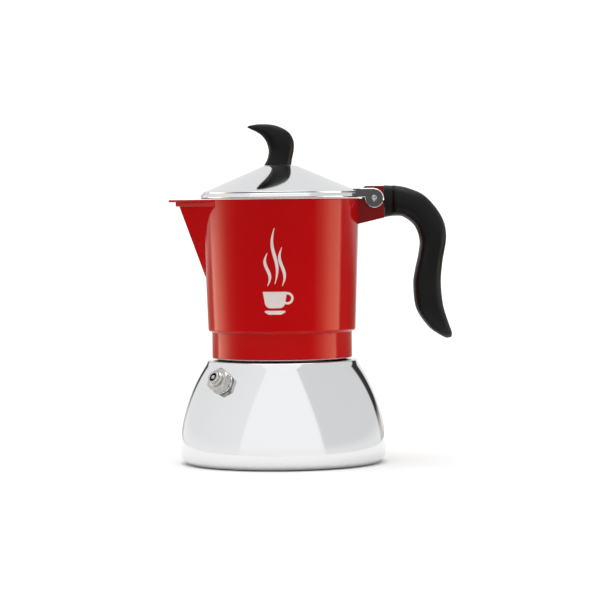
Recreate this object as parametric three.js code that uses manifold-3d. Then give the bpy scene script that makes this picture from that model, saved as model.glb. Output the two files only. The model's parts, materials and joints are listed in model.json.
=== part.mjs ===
// Moka pot: a stovetop coffee maker of the three-cup size, with a steel boiler for induction hobs.
// Millimetres, +Z up. The origin is the centre of the base's flat underside. The spout points to -X
// and the handle to +X. Pieces that seat on each other or run in each other keep small named gaps.
import * as THREE from "three";
import { mergeVertices } from "three/addons/utils/BufferGeometryUtils.js";
import { ConvexGeometry } from "three/addons/geometries/ConvexGeometry.js";
import Module from "manifold-3d";

const wasm = await Module();
wasm.setup();

// ---- Driving dimensions ----

// Gaps
const SEAT = 0.2; // between two faces that rest on each other
const FIT = 0.3; // radial, between a piece and the hole or bore that holds it
const SIDE_PLAY = 0.4; // between the lid's ears and the lug

// Boiler
const BOILER_RADIUS = 54.6; // at its widest
const CORNER_RADIUS = 5.2; // bottom corner of the side
const BOILER_HEIGHT = 55.2; // table to the top of the shoulder
const SHOULDER_DROP = 2.2; // height of the rounded shoulder
const SHOULDER_OVERHANG = 3.2; // shoulder past the collector's skirt
const SHELL_WALL = 1.5;
const FOOT_RISE = 0.4; // foot ring above the base disc's underside
const FOOT_WIDTH = 4.8; // flat foot ring around the base disc
const BASE_THICKNESS = 2.8;
const NECK_BORE = 31.4; // radius
const NECK_WALL = 1.5;
const NECK_HEIGHT = 11.8;

// Thread between the boiler's neck and the collector's skirt
const THREAD_PITCH = 3;
const THREAD_TURNS = 2.5;
const THREAD_DEPTH = 0.8;
const THREAD_LEAD_IN = 2.3; // plain neck below the thread

// Safety valve
const VALVE_DROP = 8.4; // below the shoulder
const VALVE_TURN = 227; // degrees about Z, from +X
const VALVE_HEX = 12; // across flats
const VALVE_HEX_HEIGHT = 3.8;
const VALVE_NOSE_RADIUS = 4.2;
const VALVE_NOSE_HEIGHT = 3.2;
const VALVE_SHANK_RADIUS = 4.6;
const VALVE_SHANK_LENGTH = 9.4;
const VALVE_CHAMBER_RADIUS = 3;
const VALVE_SEAT_RADIUS = 1.5;
const VALVE_SEAT_DEPTH = 3;
const BUSH_RADIUS = 6;
const BUSH_LENGTH = 5.6;
const BUSH_PROUD = 0.3; // past the wall, at the valve's axis
const VALVE_WASHER = 0.6;
const RETAINER_THICKNESS = 1.2;
const RETAINER_DEPTH = 2.4; // below the nose's end
const PLUNGER_RADIUS = 1.1;
const PLUNGER_HEAD = 1.2;
const SPRING_WIRE = 0.3; // radius
const SPRING_TURNS = 4;

// Funnel
const CUP_WALL = 0.8;
const CUP_DEPTH = 20;
const CUP_CONE = 4.4; // height of the cup's sloping floor
const CUP_FLAT = 12; // radius of the flat in the middle of the floor
const RIM_THICKNESS = 1;
const STEM_RADIUS = 6;
const STEM_WALL = 0.8;
const STEM_FLANGE = 3; // past the stem
const STEM_GAP = 4.6; // stem's end above the boiler's floor
const SCREEN_THICKNESS = 0.8;

// Seal
const GASKET_HEIGHT = 3.6;
const GASKET_MARGIN = 1.1; // past the neck's bore
const GASKET_WIDTH = 6;
const GASKET_LIP = 2; // under the filter plate's rim
const PLATE_THICKNESS = 1;

// Collector
const SKIRT_WALL = 2.3;
const SKIRT_GAP = 0.8; // skirt above the boiler's shoulder
const STEP_Z = 3.1; // outer step above the neck's top
const BODY_STEP = 1.9; // body past the skirt
const BODY_FLARE = 2.7; // rim past the body's foot
const BODY_WALL = 2;
const BODY_CORNER = 1.4;
const FLOOR_THICKNESS = 2.8;
const CHAMBER_DEPTH = 1.2; // recess above the filter plate
const COLLECTOR_DEPTH = 65; // inside, floor to rim
const COLUMN_BORE = 3.6;
const COLUMN_FOOT = 7;
const COLUMN_TOP = 5.4;
const COLUMN_HEIGHT = 50;
const COLUMN_SPIGOT = 5;
const COLUMN_SLOT = 5;

// Spout
const SPOUT_REACH = 12.2; // past the rim
const SPOUT_HEIGHT = 41.5;
const SPOUT_HALF_WIDTH = 24;
const SPOUT_TIP = 1; // half width of the blunt tip
const SPOUT_WALL = 1.8;
const STEP_REACH = 1.8; // first step past the spout's side
const STEP_HEIGHT = 2.2;
const LIP_REACH = 3.7; // lip past the first step
const LIP_HEIGHT = 1.2;

// Hinge and lug
const HINGE_REACH = 7.7; // pin's axis past the rim
const PIN_RADIUS = 1.5;
const LUG_WIDTH = 13;
const LUG_REACH = 5.3; // lug's end past the pin
const LUG_TOP = 6.4; // above the rim
const LUG_END_DEPTH = 10.4; // below the rim, at the handle
const LUG_ROOT_DEPTH = 13.8; // below the rim, at the body
const LUG_NOSE = 6.2; // lug's front before the pin
const TONGUE_LENGTH = 11.5;
const TONGUE_WIDTH = 6.4;
const TONGUE_HEIGHT = 9;
const TONGUE_TOP = 4; // above the rim
const HANDLE_SCREW_RADIUS = 1.6;
const HANDLE_SCREW_HEAD = 2.9;

// Lid
const LID_OVERLAP = 0.6; // past the collector's rim
const LID_SHEET = 1;
const LID_SLOPE = 23; // degrees
const LID_PAD = 8.5; // radius of the flat under the knob
const HEM_HEIGHT = 2.4;
const HEM_CHORD = 2.6; // straight cut at the hinge, in from the hem
const HEM_WIDTH = 2;
const HEM_EDGE = 1; // hem past the cone's foot
const EAR_SHEET = 1.2;
const EAR_RADIUS = 5.1;
const EAR_TOP = 5.3; // above the pin
const SWING_GAP = 0.3; // between the tab's path and the lug
const LUG_NOSE_ROUND = 7.9; // about the pin

// Knob and its fixing
const KNOB_SCREW_RADIUS = 1.8;
const KNOB_SCREW_HEAD = 3.2;
const KNOB_SCREW_HEAD_HEIGHT = 1.8;
const KNOB_WASHER_RADIUS = 5;
const INSERT_RADIUS = 3.2;
const INSERT_LENGTH = 7;

// Edges and overlaps
const EDGE = 0.6; // chamfer on a turned edge
const FINE_EDGE = 0.4;
const BITE = 0.5; // how far a joined shape runs into its neighbour
const THROUGH = 1; // how far a cutting shape runs past the faces it cuts
const EASE = 0.1; // a little more room
const LAP = 0.01; // overlap of two shapes that share a face
const WELD = 1e-3; // points nearer than this are one point

// Thread section
const RIDGE_ROOT = 0.4; // depth of the ridge's root in the wall
const RIDGE_FOOT = 0.9; // half height at the root
const RIDGE_CREST = 0.35; // half height at the crest
const RIDGE_STEPS = 32; // sections a turn
const RIDGE_FADE = 4; // sections over which each end fades
const RIDGE_LEAST = 0.05; // of its height, at its ends

// Shoulder and neck
const SHOULDER_INSET = 1.6; // centre of the shoulder's round, in from the shoulder
const SHOULDER_LIFT = 0.5; // and above it
const NECK_FILLET = 1;
const VALVE_HOLE_LENGTH = 14;

// Valve details
const HEX_CHAMFER = 1.2;
const PLUNGER_TAPER = 0.4;
const SPRING_SECTIONS = 12; // a turn
const SPRING_SIDES = 6;

// Pierced plates
const SCREEN_PITCH = 7;
const PLATE_PITCH = 7.4;
const HOLE_RADIUS = 1;
const PLATE_MARGIN = 4;
const HOLE_STEPS = 3; // a quarter of each hole
const PLATE_SPARE = 2; // cut away to the round outline

// Collector details
const FLOOR_FILLET = 3;
const BOARD_DEPTH = 8; // how deep the spout's shapes reach into the body
const CHANNEL_TAPER = 0.7; // how much the channel narrows for each step in
const NOSE_STEPS = 8;
const COLUMN_FLANGE = 1.5; // past the column's foot
const COLUMN_FLANGE_HEIGHT = 1.6;
const COLUMN_FILLET = 0.8;
const COLUMN_CAP = 2.4;
const COLUMN_CAP_HOLE = 0.1; // radius left before the cap closes it
const COLUMN_CAP_RADIUS = 1.6;
const COLUMN_NOSE = 2;
const COLUMN_NOSE_INSET = 1.6;
const SLOT_LOW = 9; // slot below the column's top
const SLOT_HIGH = 4;

// Handle details
const SCREW_SETBACK = 7; // handle screw past the lug's end
const SCREW_RECESS = 2.6; // screw's seat above the lug's underside
const COUNTERBORE_RUN = 8; // from the seat out past the handle's underside
const SCREW_HEAD_HEIGHT = 1.6;
const SCREW_SLOT = 0.4; // half width and depth of a driver's slot
const SCREW_SLOT_DEPTH = 0.8;
const HANDLE_SECTIONS = 36;
const KNOB_SECTIONS = 22;
const SECTION_SIDES = 16;
const HANDLE_SQUARENESS = 3;
const KNOB_SQUARENESS = 2.4;

// Pin
const PIN_PROUD = 0.4; // past the ears
const DIMPLE = 0.6; // of the pin's radius
const DIMPLE_DEPTH = 0.8;

// Facets
const ROUND = 40; // around a large turned piece
const SMALL_ROUND = 20; // around a small one

// ---- Derived levels and radii ----

const SHOULDER_Z = BOILER_HEIGHT - SHOULDER_DROP;
const NECK_ROOT = NECK_BORE + NECK_WALL;
const NECK_CREST = NECK_ROOT + THREAD_DEPTH;
const SKIRT_CREST = NECK_CREST + FIT;
const SKIRT_BORE = SKIRT_CREST + THREAD_DEPTH;
const SKIRT_RADIUS = SKIRT_BORE + SKIRT_WALL;
const SHOULDER_RADIUS = SKIRT_RADIUS + SHOULDER_OVERHANG;
const NECK_TOP = BOILER_HEIGHT + NECK_HEIGHT;
const BOILER_FLOOR = FOOT_RISE + BASE_THICKNESS + SHELL_WALL;
const CUP_TOP = NECK_TOP + SEAT + RIM_THICKNESS;
const GASKET_BOTTOM = CUP_TOP + SEAT;
const GASKET_TOP = GASKET_BOTTOM + GASKET_HEIGHT;
const GASKET_OUTER = NECK_BORE + GASKET_MARGIN;
const GASKET_INNER = GASKET_OUTER - GASKET_WIDTH;
const PLATE_RADIUS = GASKET_INNER + GASKET_LIP - FIT;
const CEILING = GASKET_TOP + SEAT; // underside of the collector's floor
const FLOOR = CEILING + FLOOR_THICKNESS;
const RIM = FLOOR + COLLECTOR_DEPTH;
const BODY_FOOT = SKIRT_RADIUS + BODY_STEP;
const BODY_FOOT_Z = NECK_TOP + STEP_Z;
const BODY_RIM = BODY_FOOT + BODY_FLARE;
const PIN_X = BODY_RIM + HINGE_REACH;
const LUG_END = PIN_X + LUG_REACH;
const LID_BOTTOM = RIM + 2 * SEAT;
const LID_RADIUS = BODY_RIM + LID_OVERLAP;
const LID_TAN = Math.tan(THREE.MathUtils.degToRad(LID_SLOPE));
const TAB_TOP = RIM + EAR_TOP;
const CONE_FOOT_Z = LID_BOTTOM + HEM_HEIGHT + LID_SHEET;
const CONE_FOOT = LID_RADIUS - HEM_EDGE;
const PAD_Z = CONE_FOOT_Z + (CONE_FOOT - LID_PAD) * LID_TAN;

// ---- Making and cutting solids ----

// A geometry as a manifold solid whose faces point outwards.
function solid(geometry) {
  const bare = geometry.clone();
  bare.deleteAttribute("normal");
  bare.deleteAttribute("uv");
  const merged = mergeVertices(bare, WELD);
  const vertProperties = merged.attributes.position.array;
  const triVerts = new Uint32Array(merged.index.array);
  const made = new wasm.Manifold(new wasm.Mesh({ numProp: 3, vertProperties, triVerts }));
  if (made.volume() > 0) return made;
  triVerts.reverse();
  return new wasm.Manifold(new wasm.Mesh({ numProp: 3, vertProperties, triVerts }));
}

function geometryOf(made) {
  const { vertProperties, triVerts } = made.getMesh();
  const geometry = new THREE.BufferGeometry();
  geometry.setAttribute("position", new THREE.BufferAttribute(vertProperties, 3));
  geometry.setIndex(new THREE.BufferAttribute(triVerts, 1));
  geometry.computeVertexNormals();
  return geometry;
}

const join = (first, ...others) => others.reduce((sum, next) => sum.add(next), first);
const cut = (first, ...others) => others.reduce((rest, next) => rest.subtract(next), first);

// A profile of [radius, z] points turned about Z. It starts and ends on the axis, or is closed here.
function turned(profile, sides = ROUND) {
  const points = profile.map(([r, z]) => new THREE.Vector2(r, z));
  if (points[0].x > 0) points.push(points[0].clone());
  return solid(new THREE.LatheGeometry(points, sides).rotateX(Math.PI / 2));
}

// A disc or ring between two heights.
function ring(inner, outer, low, high, sides = ROUND) {
  const wall = [[outer, low], [outer, high]];
  if (inner > 0) return turned([[inner, low], ...wall, [inner, high]], sides);
  return turned([[0, low], ...wall, [0, high]], sides);
}

function box(low, high) {
  const size = new THREE.Vector3(...high).sub(new THREE.Vector3(...low));
  const middle = new THREE.Vector3(...low).addScaledVector(size, 0.5);
  const geometry = new THREE.BoxGeometry(size.x, size.y, size.z);
  return solid(geometry.translate(middle.x, middle.y, middle.z));
}

// An outline in X and Z, extruded along Y from one side to the other.
function slab(shape, from, to) {
  const geometry = new THREE.ExtrudeGeometry(shape, {
    depth: to - from,
    bevelEnabled: false,
    curveSegments: NOSE_STEPS,
  });
  return solid(geometry.rotateX(Math.PI / 2).translate(0, to, 0));
}

// A pin or hole along Y through the hinge's axis.
function acrossHinge(radius, halfLength) {
  const geometry = new THREE.CylinderGeometry(radius, radius, 2 * halfLength, SMALL_ROUND);
  return solid(geometry.translate(PIN_X, 0, RIM));
}

// Rings of points joined one to the next and closed by a fan at each end.
function skinned(rings) {
  const sides = rings[0].length;
  const points = rings.flat();
  const index = [];
  for (let i = 0; i + 1 < rings.length; i++) {
    for (let j = 0; j < sides; j++) {
      const a = i * sides + j;
      const b = i * sides + ((j + 1) % sides);
      index.push(a, b, b + sides, a, b + sides, a + sides);
    }
  }
  for (const [start, turn] of [[0, 1], [(rings.length - 1) * sides, -1]]) {
    const middle = new THREE.Vector3();
    for (let j = 0; j < sides; j++) middle.addScaledVector(points[start + j], 1 / sides);
    points.push(middle);
    for (let j = 0; j < sides; j++) {
      const edge = [start + ((j + 1) % sides), start + j];
      index.push(points.length - 1, ...(turn > 0 ? edge : edge.reverse()));
    }
  }
  const geometry = new THREE.BufferGeometry().setFromPoints(points);
  geometry.setIndex(index);
  return solid(geometry);
}

// An arc of [radius, z] points about a centre, angles in degrees.
function arc(centreR, centreZ, radius, from, to, steps) {
  return Array.from({ length: steps + 1 }, (_, i) => {
    const angle = THREE.MathUtils.degToRad(from + ((to - from) * i) / steps);
    return [centreR + radius * Math.cos(angle), centreZ + radius * Math.sin(angle)];
  });
}

// ---- The named pieces ----

const STEEL = { color: 0xd6d7d8, metalness: 1, roughness: 0.12 };
const ALUMINIUM = { color: 0xc4c5c6, metalness: 1, roughness: 0.35 };
const BRASS = { color: 0xc9a75c, metalness: 1, roughness: 0.3 };
const RED = { color: 0xa81014, metalness: 0, roughness: 0.25 };
const BLACK = { color: 0x1b1e1e, metalness: 0, roughness: 0.5 };
const SILICONE = { color: 0xe9e7e1, metalness: 0, roughness: 0.6 };

function piece(name, made, finish) {
  const mesh = new THREE.Mesh(geometryOf(made), new THREE.MeshStandardMaterial(finish));
  mesh.name = name;
  return mesh;
}

// ---- Boiler ----

// The side is one arc, upright where it is widest and leaning in up to the shoulder.
const sideRise = SHOULDER_Z - FOOT_RISE - CORNER_RADIUS;
const sideInset = BOILER_RADIUS - SHOULDER_RADIUS;
const sideRadius = (sideRise ** 2 + sideInset ** 2) / (2 * sideInset);
const sideCentreR = BOILER_RADIUS - sideRadius;
const sideCentreZ = FOOT_RISE + CORNER_RADIUS;
const sideAngle = THREE.MathUtils.radToDeg(Math.asin(sideRise / sideRadius));

// The valve stands square to the side.
const valveAngle = Math.asin((SHOULDER_Z - VALVE_DROP - sideCentreZ) / sideRadius);
const valveTurn = THREE.MathUtils.degToRad(VALVE_TURN);

function valveFrame() {
  const out = new THREE.Vector3(
    Math.cos(valveAngle) * Math.cos(valveTurn),
    Math.cos(valveAngle) * Math.sin(valveTurn),
    Math.sin(valveAngle),
  );
  const reach = sideCentreR + sideRadius * Math.cos(valveAngle);
  const frame = new THREE.Group();
  frame.position.set(
    reach * Math.cos(valveTurn),
    reach * Math.sin(valveTurn),
    SHOULDER_Z - VALVE_DROP,
  );
  frame.quaternion.setFromUnitVectors(new THREE.Vector3(0, 0, 1), out);
  frame.updateMatrixWorld();
  return frame;
}

// A ridge along a helix about Z. It stands from the wall's radius to the crest's and fades at its ends.
function threadRidge(wall, crest, start) {
  const steps = Math.round(THREAD_TURNS * RIDGE_STEPS);
  const inWall = wall + Math.sign(wall - crest) * RIDGE_ROOT;
  const rings = [];
  for (let i = 0; i <= steps; i++) {
    const angle = (i / steps) * THREAD_TURNS * 2 * Math.PI;
    const z = start + (i / steps) * THREAD_TURNS * THREAD_PITCH;
    const fade = Math.min(1, i / RIDGE_FADE, (steps - i) / RIDGE_FADE);
    const top = wall + (crest - wall) * (RIDGE_LEAST + (1 - RIDGE_LEAST) * fade);
    const section = [
      [inWall, -RIDGE_FOOT],
      [top, -RIDGE_CREST],
      [top, RIDGE_CREST],
      [inWall, RIDGE_FOOT],
    ];
    rings.push(
      section.map(([r, dz]) => new THREE.Vector3(r * Math.cos(angle), r * Math.sin(angle), z + dz)),
    );
  }
  return skinned(rings);
}

function boilerShell(frame) {
  const inner = sideRadius - SHELL_WALL;
  const innerCorner = CORNER_RADIUS - SHELL_WALL;
  const cornerR = BOILER_RADIUS - CORNER_RADIUS;
  const recess = cornerR - FOOT_WIDTH;
  const shoulderRound = SHOULDER_DROP - SHELL_WALL / 2;
  const vessel = turned([
    [0, BOILER_FLOOR - SHELL_WALL],
    [recess, BOILER_FLOOR - SHELL_WALL],
    [recess, FOOT_RISE],
    ...arc(cornerR, sideCentreZ, CORNER_RADIUS, -90, 0, 4),
    ...arc(sideCentreR, sideCentreZ, sideRadius, 0, sideAngle, 7).slice(1),
    ...arc(SHOULDER_RADIUS - SHOULDER_INSET, SHOULDER_Z + SHOULDER_LIFT, shoulderRound, 30, 90, 2),
    [NECK_ROOT + NECK_FILLET, BOILER_HEIGHT],
    [NECK_ROOT, BOILER_HEIGHT + NECK_FILLET],
    [NECK_ROOT, NECK_TOP],
    [NECK_BORE, NECK_TOP],
    [NECK_BORE, BOILER_HEIGHT - SHELL_WALL],
    ...arc(sideCentreR, sideCentreZ, inner, 0, sideAngle, 6).reverse(),
    ...arc(cornerR, sideCentreZ, innerCorner, -90, 0, 3).reverse().slice(1, -1),
    [cornerR - THROUGH, BOILER_FLOOR],
    [0, BOILER_FLOOR],
  ]);
  const thread = threadRidge(NECK_ROOT, NECK_CREST, BOILER_HEIGHT + THREAD_LEAD_IN);
  const hole = new THREE.CylinderGeometry(
    BUSH_RADIUS + FIT,
    BUSH_RADIUS + FIT,
    VALVE_HOLE_LENGTH,
    SMALL_ROUND,
  );
  hole.rotateX(Math.PI / 2).applyMatrix4(frame.matrix);
  return cut(join(vessel, thread), solid(hole));
}

function boilerBase() {
  const radius = BOILER_RADIUS - CORNER_RADIUS - FOOT_WIDTH - FIT;
  const top = FOOT_RISE + BASE_THICKNESS - SEAT;
  return turned([[0, 0], [radius - EDGE, 0], [radius, EDGE], [radius, top], [0, top]]);
}

// ---- Safety valve, along its own Z from the wall's outer face ----

const WASHER_Z = BUSH_PROUD + SEAT;
const HEX_Z = WASHER_Z + VALVE_WASHER + SEAT;
const NOSE_Z = HEX_Z + VALVE_HEX_HEIGHT;
const NOSE_TOP = NOSE_Z + VALVE_NOSE_HEIGHT;
const SHANK_END = HEX_Z - VALVE_SHANK_LENGTH;
const CHAMBER_Z = SHANK_END + VALVE_SEAT_DEPTH;
const RETAINER_Z = NOSE_TOP - RETAINER_DEPTH - RETAINER_THICKNESS;
const HEAD_Z = CHAMBER_Z + SEAT;
const HEAD_RADIUS = VALVE_CHAMBER_RADIUS - FIT - EASE;

function valveBody() {
  const across = VALVE_HEX / Math.sqrt(3);
  const hex = new THREE.CylinderGeometry(across, across, VALVE_HEX_HEIGHT, 6);
  hex.rotateX(Math.PI / 2).translate(0, 0, HEX_Z + VALVE_HEX_HEIGHT / 2);
  const chamfer = turned(
    [
      [0, HEX_Z - THROUGH],
      [across + THROUGH, HEX_Z - THROUGH],
      [across + THROUGH, NOSE_Z + EASE - HEX_CHAMFER],
      [across - THROUGH, NOSE_Z + EASE],
      [0, NOSE_Z + EASE],
    ],
    SMALL_ROUND,
  );
  const nose = turned(
    [
      [0, NOSE_Z - BITE],
      [VALVE_NOSE_RADIUS, NOSE_Z - BITE],
      [VALVE_NOSE_RADIUS, NOSE_TOP - EDGE],
      [VALVE_NOSE_RADIUS - EDGE, NOSE_TOP],
      [0, NOSE_TOP],
    ],
    SMALL_ROUND,
  );
  const shank = ring(0, VALVE_SHANK_RADIUS, SHANK_END, HEX_Z + BITE, SMALL_ROUND);
  const chamber = ring(0, VALVE_CHAMBER_RADIUS, CHAMBER_Z, NOSE_TOP + THROUGH, SMALL_ROUND);
  const inlet = ring(0, VALVE_SEAT_RADIUS, SHANK_END - THROUGH, CHAMBER_Z + THROUGH, SMALL_ROUND);
  return cut(join(solid(hex).intersect(chamfer), nose, shank), chamber, inlet);
}

function valvePlunger() {
  const tip = VALVE_SEAT_RADIUS - FIT;
  return turned(
    [
      [0, SHANK_END + EDGE],
      [tip - PLUNGER_TAPER, SHANK_END + EDGE + SEAT],
      [tip, CHAMBER_Z - EDGE],
      [tip, HEAD_Z],
      [HEAD_RADIUS, HEAD_Z],
      [HEAD_RADIUS, HEAD_Z + PLUNGER_HEAD],
      [PLUNGER_RADIUS, HEAD_Z + PLUNGER_HEAD],
      [PLUNGER_RADIUS, NOSE_TOP - FIT],
      [PLUNGER_RADIUS - FIT, NOSE_TOP],
      [0, NOSE_TOP],
    ],
    SMALL_ROUND,
  );
}

// A coil spring around the plunger, from its head to the retainer.
function valveSpring() {
  const low = HEAD_Z + PLUNGER_HEAD + SEAT + SPRING_WIRE;
  const high = RETAINER_Z - SEAT - SPRING_WIRE;
  const coil = (VALVE_CHAMBER_RADIUS + PLUNGER_RADIUS) / 2;
  const steps = SPRING_TURNS * SPRING_SECTIONS;
  const rings = [];
  for (let i = 0; i <= steps; i++) {
    const angle = (i / steps) * SPRING_TURNS * 2 * Math.PI;
    const z = low + ((high - low) * i) / steps;
    const section = [];
    for (let j = 0; j < SPRING_SIDES; j++) {
      const around = (2 * Math.PI * j) / SPRING_SIDES;
      const r = coil + SPRING_WIRE * Math.cos(around);
      const height = z + SPRING_WIRE * Math.sin(around);
      section.push(new THREE.Vector3(r * Math.cos(angle), r * Math.sin(angle), height));
    }
    rings.push(section);
  }
  return skinned(rings);
}

function valve(frame) {
  const bushLow = BUSH_PROUD - BUSH_LENGTH;
  const shankHole = VALVE_SHANK_RADIUS + FIT;
  const bush = ring(shankHole, BUSH_RADIUS, bushLow, BUSH_PROUD, SMALL_ROUND);
  const washerTop = WASHER_Z + VALVE_WASHER;
  const washer = ring(shankHole, BUSH_RADIUS - FINE_EDGE, WASHER_Z, washerTop, SMALL_ROUND);
  const retainerHole = PLUNGER_RADIUS + FIT;
  const retainerTop = RETAINER_Z + RETAINER_THICKNESS;
  const retainerRadius = VALVE_CHAMBER_RADIUS - FIT;
  const retainer = ring(retainerHole, retainerRadius, RETAINER_Z, retainerTop, SMALL_ROUND);
  frame.add(
    piece("valve_bush", bush, STEEL),
    piece("valve_washer", washer, SILICONE),
    piece("valve_body", valveBody(), STEEL),
    piece("valve_plunger", valvePlunger(), STEEL),
    piece("valve_spring", valveSpring(), STEEL),
    piece("valve_retainer", retainer, STEEL),
  );
  return frame;
}

// ---- Funnel ----

const CUP_RADIUS = NECK_BORE - FIT - EASE;
const CUP_CORNER = CUP_TOP - CUP_DEPTH;
const CUP_BOTTOM = CUP_CORNER - CUP_CONE;

function funnelCup() {
  const rim = NECK_CREST - FINE_EDGE;
  return turned([
    [STEM_RADIUS + FIT, CUP_BOTTOM],
    [CUP_FLAT, CUP_BOTTOM],
    [CUP_RADIUS, CUP_CORNER],
    [CUP_RADIUS, CUP_TOP - RIM_THICKNESS],
    [rim, CUP_TOP - RIM_THICKNESS],
    [rim, CUP_TOP],
    [CUP_RADIUS - CUP_WALL, CUP_TOP],
    [CUP_RADIUS - CUP_WALL, CUP_CORNER + CUP_WALL],
    [CUP_FLAT - BITE, CUP_BOTTOM + CUP_WALL],
    [STEM_RADIUS + FIT, CUP_BOTTOM + CUP_WALL],
  ]);
}

function funnelStem() {
  const flangeLow = CUP_BOTTOM + CUP_WALL + SEAT;
  const flangeHigh = flangeLow + STEM_WALL;
  return turned(
    [
      [STEM_RADIUS - STEM_WALL, BOILER_FLOOR + STEM_GAP],
      [STEM_RADIUS, BOILER_FLOOR + STEM_GAP],
      [STEM_RADIUS, flangeLow],
      [STEM_RADIUS + STEM_FLANGE, flangeLow],
      [STEM_RADIUS + STEM_FLANGE, flangeHigh],
      [STEM_RADIUS - STEM_WALL, flangeHigh],
    ],
    SMALL_ROUND,
  );
}

// A round plate with rings of small holes, one ring every pitch.
function perforated(radius, low, thickness, pitch, hole, margin) {
  const shape = new THREE.Shape().absarc(0, 0, radius, 0, 2 * Math.PI);
  const rings = Math.floor((radius - margin) / pitch);
  for (let i = 1; i <= rings; i++) {
    const count = 6 * i;
    for (let j = 0; j < count; j++) {
      const angle = (2 * Math.PI * j) / count;
      const x = i * pitch * Math.cos(angle);
      const y = i * pitch * Math.sin(angle);
      shape.holes.push(new THREE.Path().absarc(x, y, hole, 0, 2 * Math.PI, true));
    }
  }
  const geometry = new THREE.ExtrudeGeometry(shape, {
    depth: thickness,
    bevelEnabled: false,
    curveSegments: HOLE_STEPS,
  });
  return solid(geometry.translate(0, 0, low));
}

// The same plate cut to a round outline of many sides.
function roundPlate(radius, low, thickness, pitch, hole, margin) {
  const blank = ring(0, radius, low, low + thickness);
  const spare = margin + PLATE_SPARE;
  return perforated(radius + PLATE_SPARE, low, thickness, pitch, hole, spare).intersect(blank);
}

function funnelScreen() {
  const low = CUP_CORNER + CUP_WALL + SEAT;
  const radius = CUP_RADIUS - CUP_WALL - FIT;
  return roundPlate(radius, low, SCREEN_THICKNESS, SCREEN_PITCH, HOLE_RADIUS, PLATE_MARGIN);
}

// ---- Seal ----

function gasket() {
  const step = GASKET_INNER + GASKET_LIP;
  const lipTop = GASKET_TOP - PLATE_THICKNESS - SEAT;
  return turned([
    [GASKET_INNER, GASKET_BOTTOM],
    [GASKET_OUTER, GASKET_BOTTOM],
    [GASKET_OUTER, GASKET_TOP],
    [step, GASKET_TOP],
    [step, lipTop],
    [GASKET_INNER, lipTop],
  ]);
}

function filterPlate() {
  const low = GASKET_TOP - PLATE_THICKNESS;
  return roundPlate(PLATE_RADIUS, low, PLATE_THICKNESS, PLATE_PITCH, HOLE_RADIUS, PLATE_MARGIN);
}

// ---- Collector ----

// Outer radius of the body at a height.
const bodyRadius = (z) => BODY_FOOT + (BODY_FLARE * (z - BODY_FOOT_Z)) / (RIM - BODY_FOOT_Z);

// The spout's outline seen from above, as a wedge that grows from a point at its root. It is moved in
// by an inset for the channel inside.
function spoutWedge(inset, top) {
  const rootZ = RIM - SPOUT_HEIGHT + inset;
  const rootX = -bodyRadius(rootZ) + inset;
  const grow = (top - rootZ) / SPOUT_HEIGHT;
  const tipX = rootX - (SPOUT_REACH + BODY_FLARE) * grow;
  const sideX = -BODY_RIM * Math.cos(Math.asin(SPOUT_HALF_WIDTH / BODY_RIM)) + inset;
  const sideY = SPOUT_HALF_WIDTH - CHANNEL_TAPER * inset;
  const keelX = -BODY_RIM + BOARD_DEPTH;
  const corners = [
    [rootX, SPOUT_TIP / 2, rootZ],
    [tipX, SPOUT_TIP, top],
    [sideX, sideY, top],
    [keelX, sideY, top],
    [keelX, SPOUT_TIP, rootZ],
  ];
  const both = corners.flatMap(([x, y, z]) => [
    new THREE.Vector3(x, y, z),
    new THREE.Vector3(x, -y, z),
  ]);
  return solid(new ConvexGeometry(both));
}

// A flat beak, pointed at the spout's tip, between two heights.
function beak(tipX, low, high) {
  const sideX = -BODY_RIM * Math.cos(Math.asin(SPOUT_HALF_WIDTH / BODY_RIM));
  const corners = [
    [tipX, SPOUT_TIP],
    [sideX, SPOUT_HALF_WIDTH],
    [-BODY_RIM + BOARD_DEPTH, SPOUT_HALF_WIDTH],
  ];
  const points = [low, high].flatMap((z) =>
    corners.flatMap(([x, y]) => [new THREE.Vector3(x, y, z), new THREE.Vector3(x, -y, z)]),
  );
  return solid(new ConvexGeometry(points));
}

function lug() {
  const half = LUG_WIDTH / 2;
  const nose = PIN_X - LUG_NOSE;
  const inWall = BODY_RIM - BODY_WALL / 2 - BITE;
  const roundLow = Math.PI - Math.acos(LUG_NOSE / LUG_NOSE_ROUND);
  const roundHigh = Math.PI - Math.asin(LUG_TOP / LUG_NOSE_ROUND);
  const outline = new THREE.Shape()
    .moveTo(inWall, RIM - LUG_ROOT_DEPTH)
    .lineTo(LUG_END, RIM - LUG_END_DEPTH)
    .lineTo(LUG_END, RIM + LUG_TOP)
    .absarc(PIN_X, RIM, LUG_NOSE_ROUND, roundHigh, roundLow, false)
    .lineTo(nose, RIM)
    .lineTo(inWall, RIM);
  const tongue = box(
    [LUG_END - THROUGH, -TONGUE_WIDTH / 2, RIM + TONGUE_TOP - TONGUE_HEIGHT],
    [LUG_END + TONGUE_LENGTH, TONGUE_WIDTH / 2, RIM + TONGUE_TOP],
  );
  const below = RIM - LUG_END_DEPTH - THROUGH;
  const screwHole = handleScrewHole(HANDLE_SCREW_RADIUS + FIT, below, RIM + THROUGH);
  const pinHole = acrossHinge(PIN_RADIUS + FIT, half + THROUGH);
  return cut(join(slab(outline, -half, half), tongue), pinHole, screwHole);
}

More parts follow.
